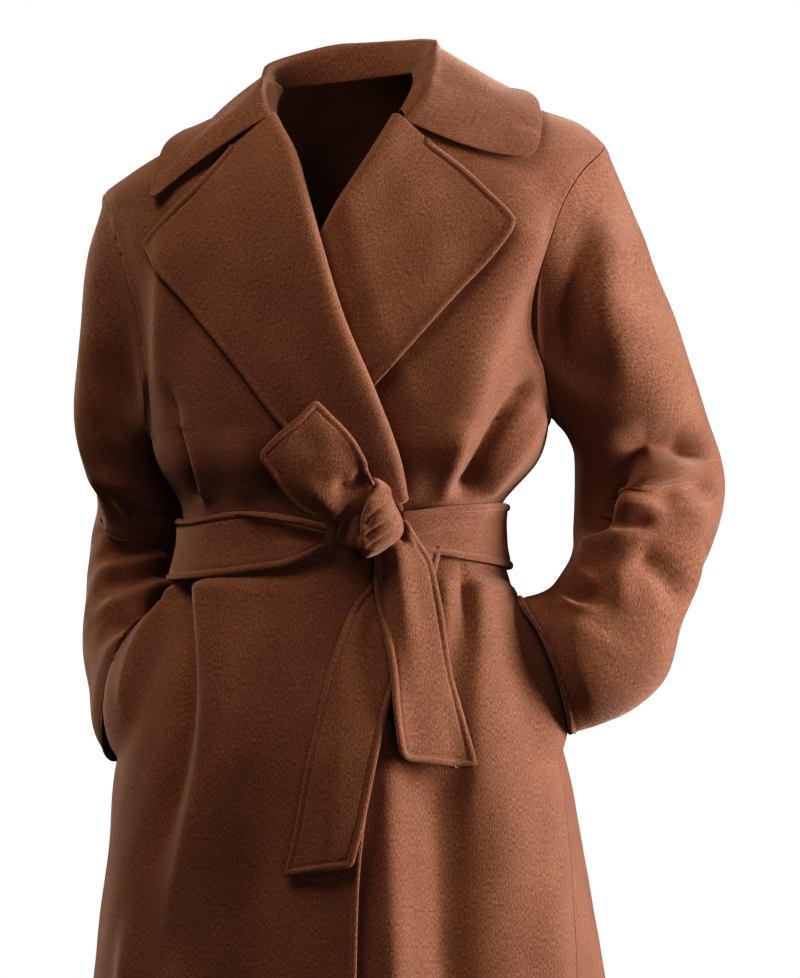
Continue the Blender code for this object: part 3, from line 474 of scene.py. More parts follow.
BODY_FOLDS = folds(
    front=[
        # the long soft ridge from the left shoulder towards the knot, and the hollow outside it
        (207, -96, 145, -238, 94, -404, 18.5, 24, 36, 0.25, 0.15),
        (216, -130, 196, -205, 190, -290, -8, 14, 14, 0.3, 0.3),
        # the deep drag line from the left armhole down to the belt, and the rolls on both sides of it
        (192, -294, 158, -338, 118, -418, -19, 9, 14, 0.2, 0.08, 1.6),
        (200, -322, 172, -362, 136, -416, 8.5, 20, 10, 0.2, 0.12),
        (114, -335, 107, -372, 100, -418, 6.5, 7, 10, 0.4, 0.05, 1.6),
        (60, -330, 66, -375, 70, -418, 3, 12, 14, 0.4, 0.05),
        # drag lines above the belt on the right side
        (-178, -290, -160, -362, -147, -418, -10, 8, 7, 0.3, 0.1, 1.5),
        (-172, -320, -152, -370, -138, -418, 6, 14, 6, 0.3, 0.1),
        (-120, -340, -108, -380, -94, -418, 3.2, 16, 14, 0.4, 0.05),
        # the chest turns away towards the right sleeve
        (-170, -130, -180, -220, -184, -330, 8, 26, 14, 0.3, 0.3),
        # the pleat that falls from the belt on the right hip: a full roll with a deep hollow outside it
        (-138, -487, -134, -665, -186, -890, 18, 52, 14, 0.04, 0.4),
        (-157, -490, -156, -640, -200, -830, -13, 13, 15, 0.04, 0.35),
        (-168, -495, -190, -560, -216, -650, 9, 8, 12, 0.1, 0.25, 1.8),
        # gathers below the belt on the left hip
        (116, -474, 119, -520, 124, -600, -7.5, 5, 5, 0.03, 0.7, 1.6),
        (101, -474, 99, -520, 98, -600, 6, 10, 12, 0.03, 0.5, 1.8),
        (132, -476, 130, -610, 132, -800, 12, 80, 14, 0.03, 0.7),
        # the big roll down the front edge, and the hollow that it leaves towards the left hip
        (34, -560, 42, -800, 56, -1119, 22, 21, 80, 0.25, 0),
        (92, -620, 104, -860, 122, -1119, -17, 34, 24, 0.35, 0),
        # long soft rolls of the skirt
        (-84, -640, -88, -860, -110, -1119, -10, 24, 30, 0.35, 0),
        (-150, -840, -168, -960, -186, -1119, 9, 20, 22, 0.35, 0),
        (-210, -810, -218, -950, -228, -1119, 11, 24, 16, 0.3, 0),
        (200, -740, 216, -930, 230, -1119, 7, 20, 30, 0.35, 0),
    ],
    back=[
        # drag lines from the shoulder blades to the belt
        (-130, -190, -106, -310, -64, -418, 8, 18, 24, 0.3, 0.05),
        (140, -200, 112, -310, 72, -418, 9, 24, 18, 0.3, 0.05),
        (12, -290, 6, -350, -2, -418, 6.5, 14, 18, 0.35, 0.05),
        (-40, -330, -34, -370, -30, -418, -6, 10, 9, 0.4, 0.05, 1.6),
        (176, -290, 150, -350, 112, -418, -8.5, 10, 12, 0.25, 0.05, 1.6),
        (-168, -300, -140, -360, -104, -418, -7.5, 12, 10, 0.25, 0.05, 1.6),
        # the pleats that open from the belt to the hem
        (-70, -495, -88, -760, -112, -1119, 12, 30, 22, 0.05, 0, 1.9),
        (-36, -495, -40, -640, -46, -860, -7.5, 12, 14, 0.05, 0.55, 1.7),
        (50, -495, 66, -760, 86, -1119, 12.5, 24, 32, 0.05, 0, 1.9),
        (96, -495, 112, -620, 132, -820, -8, 13, 12, 0.05, 0.5, 1.7),
        (138, -510, 172, -800, 196, -1119, 8.5, 26, 24, 0.1, 0),
        (-140, -510, -182, -800, -206, -1119, 8.5, 24, 28, 0.1, 0),
        (6, -620, 10, -860, 14, -1119, -6, 22, 22, 0.3, 0),
    ],
)
FOLD_STEPS = 8
FOLD_BLEND = 0.006  # the surface is sought over this distance
FOLD_REACH = 3.2  # widths from its line at which a fold has died away


def depth_on(surface, x, z, face):
    """How far back a surface lies under points seen from the front, or from behind."""
    points, normals = surface
    seen = normals[..., 1] * face > 0.1
    points = points[seen]
    away = (points[:, 0] - x[:, None]) ** 2 + (points[:, 2] - z[:, None]) ** 2
    weight = np.exp(-(away - away.min(axis=1, keepdims=True)) / FOLD_BLEND**2)
    return (weight * points[:, 1]).sum(axis=1) / weight.sum(axis=1)


def fold_height(points, normals, rows, surface=None):
    """How high the folds stand at points of a surface, their own if no other is given."""
    surface = surface or (points, normals)
    total = np.zeros(points.shape[:-1])
    along = np.linspace(0.0, 2.0, FOLD_STEPS + 1)
    for k in range(len(rows["face"])):
        row = {name: values[k] for name, values in rows.items()}
        x, z = (between(np.arange(3.0), np.array([row[c + n] for n in "012"]), along) for c in "xz")
        path = np.stack([x, depth_on(surface, x, z, row["face"]), z], axis=1)
        far = FOLD_REACH * max(row["left"], row["right"])
        near = ((points > path.min(axis=0) - far) & (points < path.max(axis=0) + far)).all(axis=-1)
        gap, place, side = nearest(points[near], path, normals[near])
        width = np.where(side > 0, row["left"], row["right"])
        swell = ease(-0.001, row["rise"] + 0.001, place) * ease(1.001, 0.999 - row["fall"], place)
        total[near] += row["height"] * swell * np.exp(-((gap / width) ** row["sharp"]))
    return total


def body_surface():
    """The whole form as a coarse grid, for finding depths."""
    bearing, level = np.meshgrid(np.linspace(-180.0, 180.0, 121), np.linspace(HEM, NECK, 150))
    return form(bearing, level), outward(bearing, level)


BODY_SURFACE = body_surface()
UNDER_BELT = (0.029, 0.052)  # the belt's hold on the cloth ends between these distances from its middle
UNEVEN = 0.0011


def drape(bearing, level):
    """How far the body's cloth stands off the form. Its folds are pressed flat under the belt."""
    points, normals = form(bearing, level), outward(bearing, level)
    total = fold_height(points, normals, BODY_FOLDS, BODY_SURFACE)
    free = ease(*UNDER_BELT, np.abs(level - BELT))
    return np.where(total > 0, total * free, total * np.maximum(free, 0.4)) + uneven(points, UNEVEN) * free


# ================================================================ fronts
# Two fronts, each cut in one piece from shoulder seam to hem. The right one laps over the left. Their front
# edges are turned in and hand-sewn, and the side seams are left open at the hips, where the pockets go in.
ARMHOLE_ROWS = 56
SHOULDER_ROWS = 40
ROW_STEP = 0.0041
FRONT_STEP = 0.0038
FRONT_WIDTH = 0.30
# Where rows of points lie near a turned edge and near a seam, closer together than elsewhere
EDGE_STEPS = (0, 0.0003, 0.0007, 0.0012, 0.0018, 0.0028, 0.0042, 0.0056, 0.0066, 0.0075, 0.0084, 0.0096, 0.012)
SEAM_STEPS = (0.0, 0.0005, 0.0011, 0.0018, 0.0032)
SEAM_GAP = -0.0005  # below zero, as the turnings overlap inside the seam
SEAM_ROUND = 0.0012
SEAM_PINCH = 0.4
FAR = 1.0  # farther than any edge
INTO_LAPEL = (-0.30, -0.20)  # the fronts' turned edges end between these heights, where the lapels roll over
POCKET_REACH = 0.065  # the pocket is felt this far from the side seam
POCKET_GAPE = {"right": 0.034, "left": 0.026}  # the front's edge stands off this far at the pocket
POCKET_SINK = {"right": 0.020, "left": 0.008}  # and the back's edge goes in this far
UPPER_RISE = 0.0042  # the upper front's inner edge stands this far off the form
UNDER_DROP = -0.0078  # the under front sinks this far where the upper one covers it
UPPER_SPREAD = (0.02, 0.12)  # each dies away over these distances from the upper front's edge
UNDER_SPREAD = (0.0, 0.05)
LAP_HEIGHT = 0.0024  # the armhole seam's turnings are pressed towards the body and stand up as a ridge
LAP_WIDTH = 0.0052


def steps_between(start, end, step, near_start=(0.0,), near_end=(0.0,)):
    """Places from start to end about a step apart, and closer together near each end."""
    first = start + np.array(near_start)
    last = end - np.array(near_end[::-1])
    count = max(int((last[0] - first[-1]) / step), 1)
    return np.concatenate([first[:-1], np.linspace(first[-1], last[0], count + 1), last[1:]])


def panel_levels():
    """The rows of a body panel: hem to armpit, round the armhole, and over the shoulder."""
    lower = steps_between(HEM, ARMPIT, ROW_STEP, near_start=EDGE_STEPS)[:-1]
    turn = np.linspace(math.pi, 0.0, ARMHOLE_ROWS + 1)[:-1]
    return np.concatenate([lower, armhole_level(turn), np.linspace(SHOULDER_TIP, NECK, SHOULDER_ROWS + 1)])


def spread(start, end, share):
    """Rows from start to end, divided at the given shares."""
    return start[:, None] * (1 - share) + end[:, None] * share


def row_reach(level, bearing, edge):
    """Distance along a level between a bearing and a panel's edge."""
    far = reach(section(level), np.radians(bearing))
    return far * np.radians(np.abs(bearing - edge))


def pocket_gape(side, level):
    """How far the front's edge stands off at the pocket, where the side seam isn't sewn."""
    middle = (POCKET_HEAD + POCKET_FOOT) / 2
    half = (POCKET_HEAD - POCKET_FOOT) / 2
    return POCKET_GAPE[side] * np.clip(1 - ((level - middle) / half) ** 2, 0.0, 1.0) ** 0.8


def seam_show(level):
    """The armhole seam's ridge dies away towards the shoulder, where its turnings are trimmed."""
    return 1 - 0.85 * ease(SHOULDER_TIP - 0.050, SHOULDER_TIP - 0.006, level)


def armhole_ridge(points, side, face):
    """The ridge of the armhole seam on a panel, and how far its edge is rounded."""
    turn = np.linspace(0.0, math.pi, 40)
    level = armhole_level(turn)
    gap, _, _ = nearest(points, form(armhole_bearing(side, face, level), level))
    ridge = LAP_HEIGHT * (1 - ease(LAP_WIDTH * 0.7, LAP_WIDTH * 1.3, gap))
    return ridge * seam_show(level_of(points[..., 0], points[..., 2])), gap


def seam_round(gap):
    """How far the two faces draw together at a sewn edge, so that the seam reads as a fine groove."""
    return rounding(gap, SEAM_ROUND) * CLOTH * SEAM_PINCH


def upper_lift(bearing, level):
    """The upper front rises towards its inner edge."""
    x = form(bearing, level)[..., 0]
    edge = between(EDGE_RIGHT["level"], EDGE_RIGHT["x"], level)
    return UPPER_RISE * (1 - ease(*UPPER_SPREAD, edge - x)) * ease(-0.06, -0.15, level)


def under_lift(bearing, level):
    """The under front sinks where it passes beneath the upper one."""
    x = form(bearing, level)[..., 0]
    edge = between(EDGE_RIGHT["level"], EDGE_RIGHT["x"], level)
    return UNDER_DROP * (1 - ease(*UNDER_SPREAD, x - edge)) * ease(-0.08, -0.155, level)


def front_panel(side):
    """One front, from its left edge to its right as it is seen."""
    level = panel_levels()
    edge = EDGE_RIGHT if side == "right" else EDGE_LEFT
    inner = bearing_at(between(edge["level"], edge["x"], level), level)
    outer = side_bearing(side, "front", level)
    sign = -1.0 if side == "right" else 1.0
    outer = outer - sign * np.degrees(SEAM_GAP / 2 / reach(section(level), np.radians(outer)))
    if side == "right":
        share = steps_between(0.0, FRONT_WIDTH, FRONT_STEP, SEAM_STEPS, EDGE_STEPS) / FRONT_WIDTH
        bearing = spread(outer, inner, share)
    else:
        share = steps_between(0.0, FRONT_WIDTH, FRONT_STEP, EDGE_STEPS, SEAM_STEPS) / FRONT_WIDTH
        bearing = spread(inner, outer, share)
    level = np.broadcast_to(level[:, None], bearing.shape)
    base = form(bearing, level)
    from_seam = row_reach(level, bearing, outer[:, None])
    from_edge = row_reach(level, bearing, inner[:, None]) + FAR * ease(*INTO_LAPEL, level)
    ridge, from_armhole = armhole_ridge(base, side, "front")
    puff, closing = turned_edge(np.minimum(from_edge, level - HEM))
    closing = np.maximum(closing, seam_round(np.minimum(from_seam, from_armhole)))
    under = upper_lift(bearing, level) if side == "right" else under_lift(bearing, level)
    near_side = 1 - ease(0.0, POCKET_REACH, from_seam)
    lift = drape(bearing, level) + under + near_side * pocket_gape(side, level) + ridge + puff
    outside = body(bearing, level, lift - closing)
    inside = body(bearing, level, lift - CLOTH + closing)
    piece = cloth_object("front_" + side + "_cloth", outside, inside)
    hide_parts("front_" + side)
    return piece


front_right = front_panel("right")
front_left = front_panel("left")

# ================================================================ back
# The back is cut in one piece across the shoulders, with no centre seam, and falls in pleats from the belt.
BACK_STEP = 0.0046
BACK_WIDTH = 0.60


def back_rise(bearing, level):
    """How far the back sinks in behind each pocket."""
    total = np.zeros(np.shape(bearing))
    for side, sign in (("right", -1.0), ("left", 1.0)):
        seam = np.abs(side_bearing(side, "back", level))
        behind = reach(section(level), np.radians(bearing)) * np.radians(np.abs(bearing) - seam)
        near_side = (1 - ease(0.0, POCKET_REACH, behind)) * (bearing * sign > 0)
        total -= near_side * POCKET_SINK[side] / POCKET_GAPE[side] * pocket_gape(side, level)
    return total


def back_panel():
    """The back, from the left side seam round to the right."""
    level = panel_levels()
    start = side_bearing("left", "back", level)
    end = 360.0 + side_bearing("right", "back", level)
    turn = np.degrees(SEAM_GAP / 2 / reach(section(level), np.radians(start)))
    start, end = start + turn, end - turn
    share = steps_between(0.0, BACK_WIDTH, BACK_STEP, SEAM_STEPS, SEAM_STEPS) / BACK_WIDTH
    bearing = spread(start, end, share)
    level = np.broadcast_to(level[:, None], bearing.shape)
    from_seam = np.minimum(*(row_reach(level, bearing, seam[:, None]) for seam in (start, end)))
    bearing = np.where(bearing > 180.0, bearing - 360.0, bearing)
    base = form(bearing, level)
    ridges = [armhole_ridge(base, side, "back") for side in ("left", "right")]
    from_armhole = np.minimum(ridges[0][1], ridges[1][1])
    puff, closing = turned_edge(level - HEM)
    closing = np.maximum(closing, seam_round(np.minimum(from_seam, from_armhole)))
    lift = drape(bearing, level) + back_rise(bearing, level) + ridges[0][0] + ridges[1][0] + puff
    outside = body(bearing, level, lift - closing)
    inside = body(bearing, level, lift - CLOTH + closing)
    piece = cloth_object("back_cloth", outside, inside)
    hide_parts("back")
    return piece


back = back_panel()

# ================================================================ sleeves
# Two drop-shoulder sleeves, each one tube with a single seam under the arm, let into the armhole under a lapped
# seam. Both are bent at the elbow and end in plain turned-in cuffs, open at the pockets. Each rung of a table
# crosses its sleeve: its outer and inner outline, where its middle is from front to back, how far its outer
# side leans forward, and its half depth.
SLEEVES = {
    "left": table(
        "outer_x outer_z inner_x inner_z middle lean depth",
        (260, -61, 205, -340, 0, 0, 95),
        (284, -118, 211, -345, 4, 0, 94),
        (307, -176, 218, -349, 9, 0, 91),
        (330, -231, 224, -356, 15, 0, 88),
        (349, -285, 229, -370, 22, 4, 84),
        (363, -333, 230, -393, 28, 8, 81),
        (378, -375, 230, -420, 30, 10, 79),
        (381, -410, 229, -446, 24, 6, 77),
        (369, -450, 228, -466, 10, 0, 75),
        (350, -492, 222, -482, -7, -6, 71),
        (338, -536, 212, -494, -23, -10, 64),
        (322, -588, 204, -502, -39, -10, 57),
        (290, -620, 194, -507, -50, -6, 48),
        (256, -636, 183, -510, -56, -2, 41),
        (221, -648, 170, -512, -58, 0, 34),
    ),
    "right": table(
        "outer_x outer_z inner_x inner_z middle lean depth",
        (-238, -106, -196, -352, 0, 0, 92),
        (-250, -150, -192, -360, 18, 0, 93),
        (-250, -200, -186, -368, 40, 0, 92),
        (-250, -255, -180, -378, 64, 0, 90),
        (-248, -308, -174, -390, 88, 0, 88),
        (-248, -350, -168, -403, 112, 0, 86),
        (-250, -386, -163, -417, 133, 4, 84),
        (-252, -418, -160, -432, 146, 10, 82),
        (-257, -455, -160, -449, 147, 16, 78),
        (-256, -498, -163, -468, 136, 22, 72),
        (-254, -545, -168, -486, 114, 30, 64),
        (-256, -590, -175, -502, 90, 36, 56),
        (-249, -626, -182, -515, 66, 40, 49),
        (-245, -655, -188, -526, 44, 40, 42),
        (-233, -677, -193, -534, 24, 36, 35),
    ),
}
SLEEVE_FOLDS = {
    "left": folds(
        front=[
            # the deep crease that curls round the elbow, and the full roll that hides its lower side
            (368, -366, 288, -374, 250, -456, -28, 8, 26, 0.16, 0.16),
            (362, -382, 294, -390, 262, -456, 13, 36, 8, 0.25, 0.25),
            (378, -408, 336, -403, 300, -418, -11, 12, 11, 0.25, 0.35),
            # the shorter folds stacked under it inside the elbow
            (270, -421, 292, -423, 324, -432, 6, 7, 12, 0.3, 0.45),
            (262, -441, 284, -440, 312, -436, -12, 9, 7, 0.25, 0.35),
            (232, -464, 262, -452, 312, -449, 9, 8, 16, 0.25, 0.4),
            (284, -464, 312, -484, 342, -526, -12, 14, 16, 0.3, 0.3),
            (360, -398, 346, -470, 326, -550, 13, 14, 36, 0.25, 0.3),
            # the swirl over the cuff
            (222, -481, 237, -490, 256, -502, 7, 7, 6, 0.3, 0.3),
            (218, -505, 234, -512, 257, -512, -13, 8, 7, 0.25, 0.3, 1.9),
            (212, -511, 232, -521, 260, -520, 8, 12, 6, 0.2, 0.35),
            (262, -478, 274, -500, 268, -524, 6, 13, 12, 0.3, 0.35),
            (244, -520, 228, -560, 258, -640, 10, 46, 14, 0.35, 0.3),
            # the hollow beside the armhole seam, and the crest where the upper arm turns to the front
            (244, -120, 228, -190, 222, -290, -9, 14, 12, 0.3, 0.3),
            (250, -100, 254, -210, 296, -316, 20, 48, 22, 0.3, 0.3),
        ],
        back=[
            # the back of the elbow is full, with short creases
            (360, -350, 310, -372, 262, -372, -10, 12, 14, 0.25, 0.35, 1.7),
            (366, -420, 320, -440, 280, -436, 8, 14, 14, 0.25, 0.35),
            (350, -480, 306, -492, 262, -480, -8, 12, 12, 0.25, 0.35, 1.7),
            (280, -160, 290, -240, 300, -310, 5, 24, 22, 0.35, 0.35),
        ],
    ),
    "right": folds(
        front=[
            # the deep crease across the elbow under an overhanging edge, and the folds stacked below it
            (-262, -404, -214, -429, -164, -460, -21, 10, 13, 0.42, 0.05, 1.9),
            (-262, -386, -216, -408, -164, -442, 11, 22, 9, 0.35, 0.05),
            (-250, -445, -212, -447, -184, -458, 9, 11, 12, 0.3, 0.2),
            (-256, -476, -220, -466, -186, -464, -7, 8, 8, 0.4, 0.2),
            (-256, -490, -216, -481, -178, -472, 9, 9, 10, 0.3, 0.1, 1.9),
            (-256, -508, -216, -496, -176, -486, -10, 8, 9, 0.4, 0.1, 1.9),
            (-258, -530, -214, -514, -176, -496, 9, 10, 9, 0.3, 0.1, 1.9),
            (-252, -550, -214, -533, -180, -512, -11, 9, 8, 0.4, 0.1, 1.9),
            (-250, -572, -214, -549, -192, -536, 7, 11, 11, 0.35, 0.1),
            # the upper arm turns back from the armhole
            (-228, -160, -220, -260, -212, -360, -15, 20, 22, 0.25, 0.3),
            (-246, -220, -250, -290, -248, -350, 6, 18, 20, 0.3, 0.35),
        ],
        back=[
            (-250, -400, -210, -420, -175, -410, -9, 12, 14, 0.25, 0.3, 1.7),
            (-250, -460, -206, -470, -175, -455, 8, 14, 14, 0.25, 0.3),
            (-240, -200, -230, -290, -220, -350, 5, 22, 22, 0.35, 0.35),
        ],
    ),
}
SLEEVE_LENGTH = 0.62
SLEEVE_STEP = 0.0024
ARMHOLE_STEPS = (0.0, 0.0005, 0.0012, 0.0020)
SLEEVE_COLUMNS = 168
SLEEVE_CLEARANCE = 0.0035
FOLD_SOFTENING = 4  # rounds of smoothing
SEAM_SOFTENING = 14
UNEVEN_TUBE = 0.0012
ARMHOLE_TUCK = 0.0006  # the sleeve starts this far outside the armhole
CUFF_SQUARE = {"left": 1.0, "right": 0.4}  # how far each cuff is turned square to the front
SPLAY = {"left": 1.0, "right": 0.72}  # how far the ovals lean outwards as the arm bends back
JOINED_RUNGS = 4.0  # the armhole's outline turns into the rungs' ovals over this many


def armhole_loop(side):
    """The armhole's edge as a ring: from the shoulder forward, under the arm and up the back."""
    turn = np.linspace(0.0, 2 * math.pi, SLEEVE_COLUMNS + 1)[:-1]
    level = armhole_level(turn)
    forward = armhole_bearing(side, "front", level)
    backward = armhole_bearing(side, "back", level)
    return np.where(turn <= math.pi, forward, backward), level, turn


def sleeve_ovals(side, rung, turn):
    """The rungs' ovals: turn 0 is the outer side and a quarter turn is the front."""
    rungs = SLEEVES[side]
    at = np.arange(len(rungs["depth"]), dtype=float)
    row = {name: between(at, rungs[name], rung)[:, None] for name in rungs}
    outer = np.concatenate([row["outer_x"], row["middle"] + row["lean"] / 2, row["outer_z"]], axis=1)
    inner = np.concatenate([row["inner_x"], row["middle"] - row["lean"] / 2, row["inner_z"]], axis=1)
    middle = (outer + inner) / 2
    half = (outer - inner) / 2
    forward = np.cross(np.gradient(middle, axis=0), half)
    forward *= np.sign((forward * [0.0, -1.0, 0.0]).sum(axis=1, keepdims=True))
    forward = unit(forward * [SPLAY[side], 1.0, 1.0])
    square = CUFF_SQUARE[side] * ease(at[-1] - 5.0, at[-1] - 1.0, rung)[:, None]
    deep = unit(forward * (1 - square) + square * np.array([0.0, -1.0, 0.0])) * row["depth"]
    ring = half[:, None] * np.cos(turn)[..., None] + deep[:, None] * np.sin(turn)[..., None]
    return middle[:, None] + ring


def softened(field, times):
    """A ring of heights or points smoothed over its neighbours, as thick wool rounds every fold."""
    for _ in range(times):
        across = (np.roll(field, 1, axis=1) + 2 * field + np.roll(field, -1, axis=1)) / 4
        ends = np.pad(across, ((1, 1),) + ((0, 0),) * (field.ndim - 1), mode="edge")
        field = (ends[:-2] + 2 * across + ends[2:]) / 4
    return field


def body_stand(bearing, level):
    """How far the body's cloth stands off the form at any bearing, pockets and folds included."""
    on_right = bearing < 0
    seam = np.where(on_right, side_bearing("right", "front", level), side_bearing("left", "front", level))
    gape = np.where(on_right, pocket_gape("right", level), pocket_gape("left", level))
    raised = np.maximum(drape(bearing, level), 0.0)
    return raised + np.where(np.abs(bearing) < np.abs(seam), gape, back_rise(bearing, level))


def clear_of_body(points, clearance):
    """Pushes points that would touch the body out along its normals."""
    for _ in range(3):
        bearing = np.degrees(np.arctan2(points[..., 0], -points[..., 1]))
        level = np.clip(level_of(points[..., 0], points[..., 2]), HEM, NECK)
        normals = outward(bearing, level)
        far = np.hypot(points[..., 0], points[..., 1]) - reach(section(level), np.radians(bearing))
        gap = far * np.hypot(normals[..., 0], normals[..., 1])
        push = np.maximum(clearance + body_stand(bearing, level) - gap, 0.0)
        points = points + push[..., None] * normals
    return points


def sleeve(side):
    """A drop-shoulder sleeve, from the armhole to the open cuff at the pocket."""
    bearing, level, turn = armhole_loop(side)
    to_rung = (len(SLEEVES[side]["depth"]) - 1) / SLEEVE_LENGTH
    rung = steps_between(0.0, SLEEVE_LENGTH, SLEEVE_STEP, ARMHOLE_STEPS, EDGE_STEPS) * to_rung
    tuck = -ARMHOLE_TUCK if side == "right" else ARMHOLE_TUCK
    seam_top = drape(bearing, level) + LAP_HEIGHT * seam_show(level) / 2
    start = body(bearing, level, seam_top) + [tuck, 0.0, 0.0]
    ovals = sleeve_ovals(side, rung, turn)
    blend = ease(0.0, JOINED_RUNGS, rung)[:, None, None]
    outer = (start + ovals - ovals[:1]) * (1 - blend) + ovals * blend
    clearance = SLEEVE_CLEARANCE * ease(-0.5, 1.5, rung)[:, None] - FAR * (rung[:, None] < 0.05)
    outer = clear_of_body(outer, clearance)
    relaxed = (ease(0.0, 0.6, rung) * (1 - ease(4.0, 6.0, rung)))[:, None, None]
    outer = outer + relaxed * (softened(outer, SEAM_SOFTENING) - outer)
    if side == "left":
        outer = outer[:, ::-1]
    outer = outer[::-1]
    rung = rung[::-1, None]
    normals = grid_normals(outer, closed=True)
    creases = softened(fold_height(outer, normals, SLEEVE_FOLDS[side]), FOLD_SOFTENING)
    lift = (creases + uneven(outer, UNEVEN_TUBE)) * ease(0.05, 1.6, rung)
    puff, closing = turned_edge(np.cumsum(hops(outer), axis=0))
    closing = np.maximum(closing, seam_round(rung / to_rung))
    outer = outer + (lift + puff)[..., None] * normals
    normals = grid_normals(outer, closed=True)
    outside = outer - closing[..., None] * normals
    inside = outer - (CLOTH - closing)[..., None] * normals
    piece = cloth_object("sleeve_" + side + "_cloth", outside, inside, closed=True)
    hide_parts("sleeve_" + side)
    return piece


sleeve_left = sleeve("left")
sleeve_right = sleeve("right")

# ================================================================ lapels
# Each front turns over at its roll line and lies back on the chest as a wide lapel, with a soft full roll and
# no pressed crease. The free edges are turned in and hand-sewn, which leaves a fine ridge just inside them.
# Rows run from the break at the belt up to the gorge seam: the roll line, and the free edge.
LAPELS = {
    "right": table(
        "roll_x roll_z edge_x edge_z",
        (55, -412, 40, -418),
        (40, -368, -14, -388),
        (18, -306, -60, -345),
        (-6, -248, -106, -284),
        (-26, -184, -151, -225),
        (-40, -130, -194, -168),
        (-48, -105, -193, -155),
        (-56, -80, -164, -124),
        (-63, -60, -138, -98),
        (-71, -43, -114, -72),
    ),
    "left": table(
        "roll_x roll_z edge_x edge_z",
        (-62, -228, 6, -330),
        (-48, -203, 34, -300),
        (-32, -174, 70, -259),
        (-14, -146, 106, -217),
        (2, -123, 140, -178),
        (14, -107, 161, -147),
        (24, -94, 160, -133),
        (36, -76, 142, -112),
        (47, -58, 118, -89),
        (59, -42, 87, -66),
    ),
}
ROLL_HEIGHT = {"right": 0.0085, "left": 0.0065}
LAPEL_LIFT = 0.0085
LEFT_ROLL_START = -0.120  # the left lapel's roll flattens between these heights, to pass under the right
LEFT_ROLL_END = -0.165
ROLL_CLEARANCE = 0.0014
ROLL_TURNS = 10
LAPEL_WIDTH = 0.14
ROLL_SPREAD = 0.028  # the roll dies away over this distance
LAPEL_STEP = 0.0036
LAPEL_ROWS = 150


def on_front(x, z, lift):
    """A point of the front's form under x and z, moved out."""
    level = level_of(x, z)
    return body(bearing_at(x, level), level, lift)


def front_normal(x, z):
    """The form's normal there."""
    level = level_of(x, z)
    return outward(bearing_at(x, level), level)


def panel_rise(side, x, z):
    """How far the front stands off the form under what lies on it."""
    level = level_of(x, z)
    bearing = bearing_at(x, level)
    under = upper_lift(bearing, level) if side == "right" else under_lift(bearing, level)
    return under + drape(bearing, level)


def lapel(side):
    """A lapel: the cloth turns over at the roll line and lies back on the front."""
    rungs = LAPELS[side]
    last = len(rungs["roll_x"]) - 1
    at = np.arange(last + 1, dtype=float)
    row = np.linspace(0.0, last, LAPEL_ROWS + 1)
    roll_z = between(at, rungs["roll_z"], row)
    edge = EDGE_RIGHT if side == "right" else EDGE_LEFT
    roll_x = between(edge["level"], edge["x"], level_of(between(at, rungs["roll_x"], row), roll_z))
    edge_x, edge_z = (between(at, rungs[c], row) for c in ("edge_x", "edge_z"))
    width = np.hypot(edge_x - roll_x, edge_z - roll_z)
    finer = tuple(2.2 * step for step in EDGE_STEPS)
    share = steps_between(0.0, LAPEL_WIDTH, LAPEL_STEP, (0.0,), finer) / LAPEL_WIDTH
    x = roll_x[:, None] * (1 - share) + edge_x[:, None] * share
    z = roll_z[:, None] * (1 - share) + edge_z[:, None] * share
    away = np.hypot(x - roll_x[:, None], z - roll_z[:, None])
    soft = ease(0.0, 0.06, width) if side == "right" else ease(LEFT_ROLL_END, LEFT_ROLL_START, roll_z)
    roll_height = ROLL_HEIGHT[side] * soft[:, None]
    rise = panel_rise(side, x, z)
    lift = LAPEL_LIFT + roll_height * np.exp(-((away / ROLL_SPREAD) ** 2)) + rise
    flat = on_front(x, z, lift)
    normal = front_normal(roll_x, roll_z)
    along = np.gradient(flat[:, 0], axis=0)
    away_from_lapel = np.cross(normal, along)
    away_from_lapel *= np.sign(((flat[:, 0] - flat[:, 1]) * away_from_lapel).sum(axis=1, keepdims=True))
    away_from_lapel = unit(away_from_lapel)
    radius = (lift[:, :1] - rise[:, :1] + CLOTH) / 2
    turn = np.linspace(-math.pi / 2, math.pi / 2, ROLL_TURNS + 1)[:-1]
    middle = flat[:, 0] - radius * normal
    round_roll = np.sin(turn)[:, None] * normal[:, None] + np.cos(turn)[:, None] * away_from_lapel[:, None]
    curl = middle[:, None] + radius[..., None] * round_roll
    outer = np.concatenate([curl, flat], axis=1) + ROLL_CLEARANCE * away_from_lapel[:, None]
    free_edge = outer[:, -1][::3]
    from_edge, _, _ = nearest(outer, free_edge)
    if side == "right":
        outer, from_edge = outer[:, ::-1], from_edge[:, ::-1]
    return turned_cloth("lapel_" + side, outer, grid_normals(outer), from_edge)


lapel_right = lapel("right")
lapel_left = lapel("left")

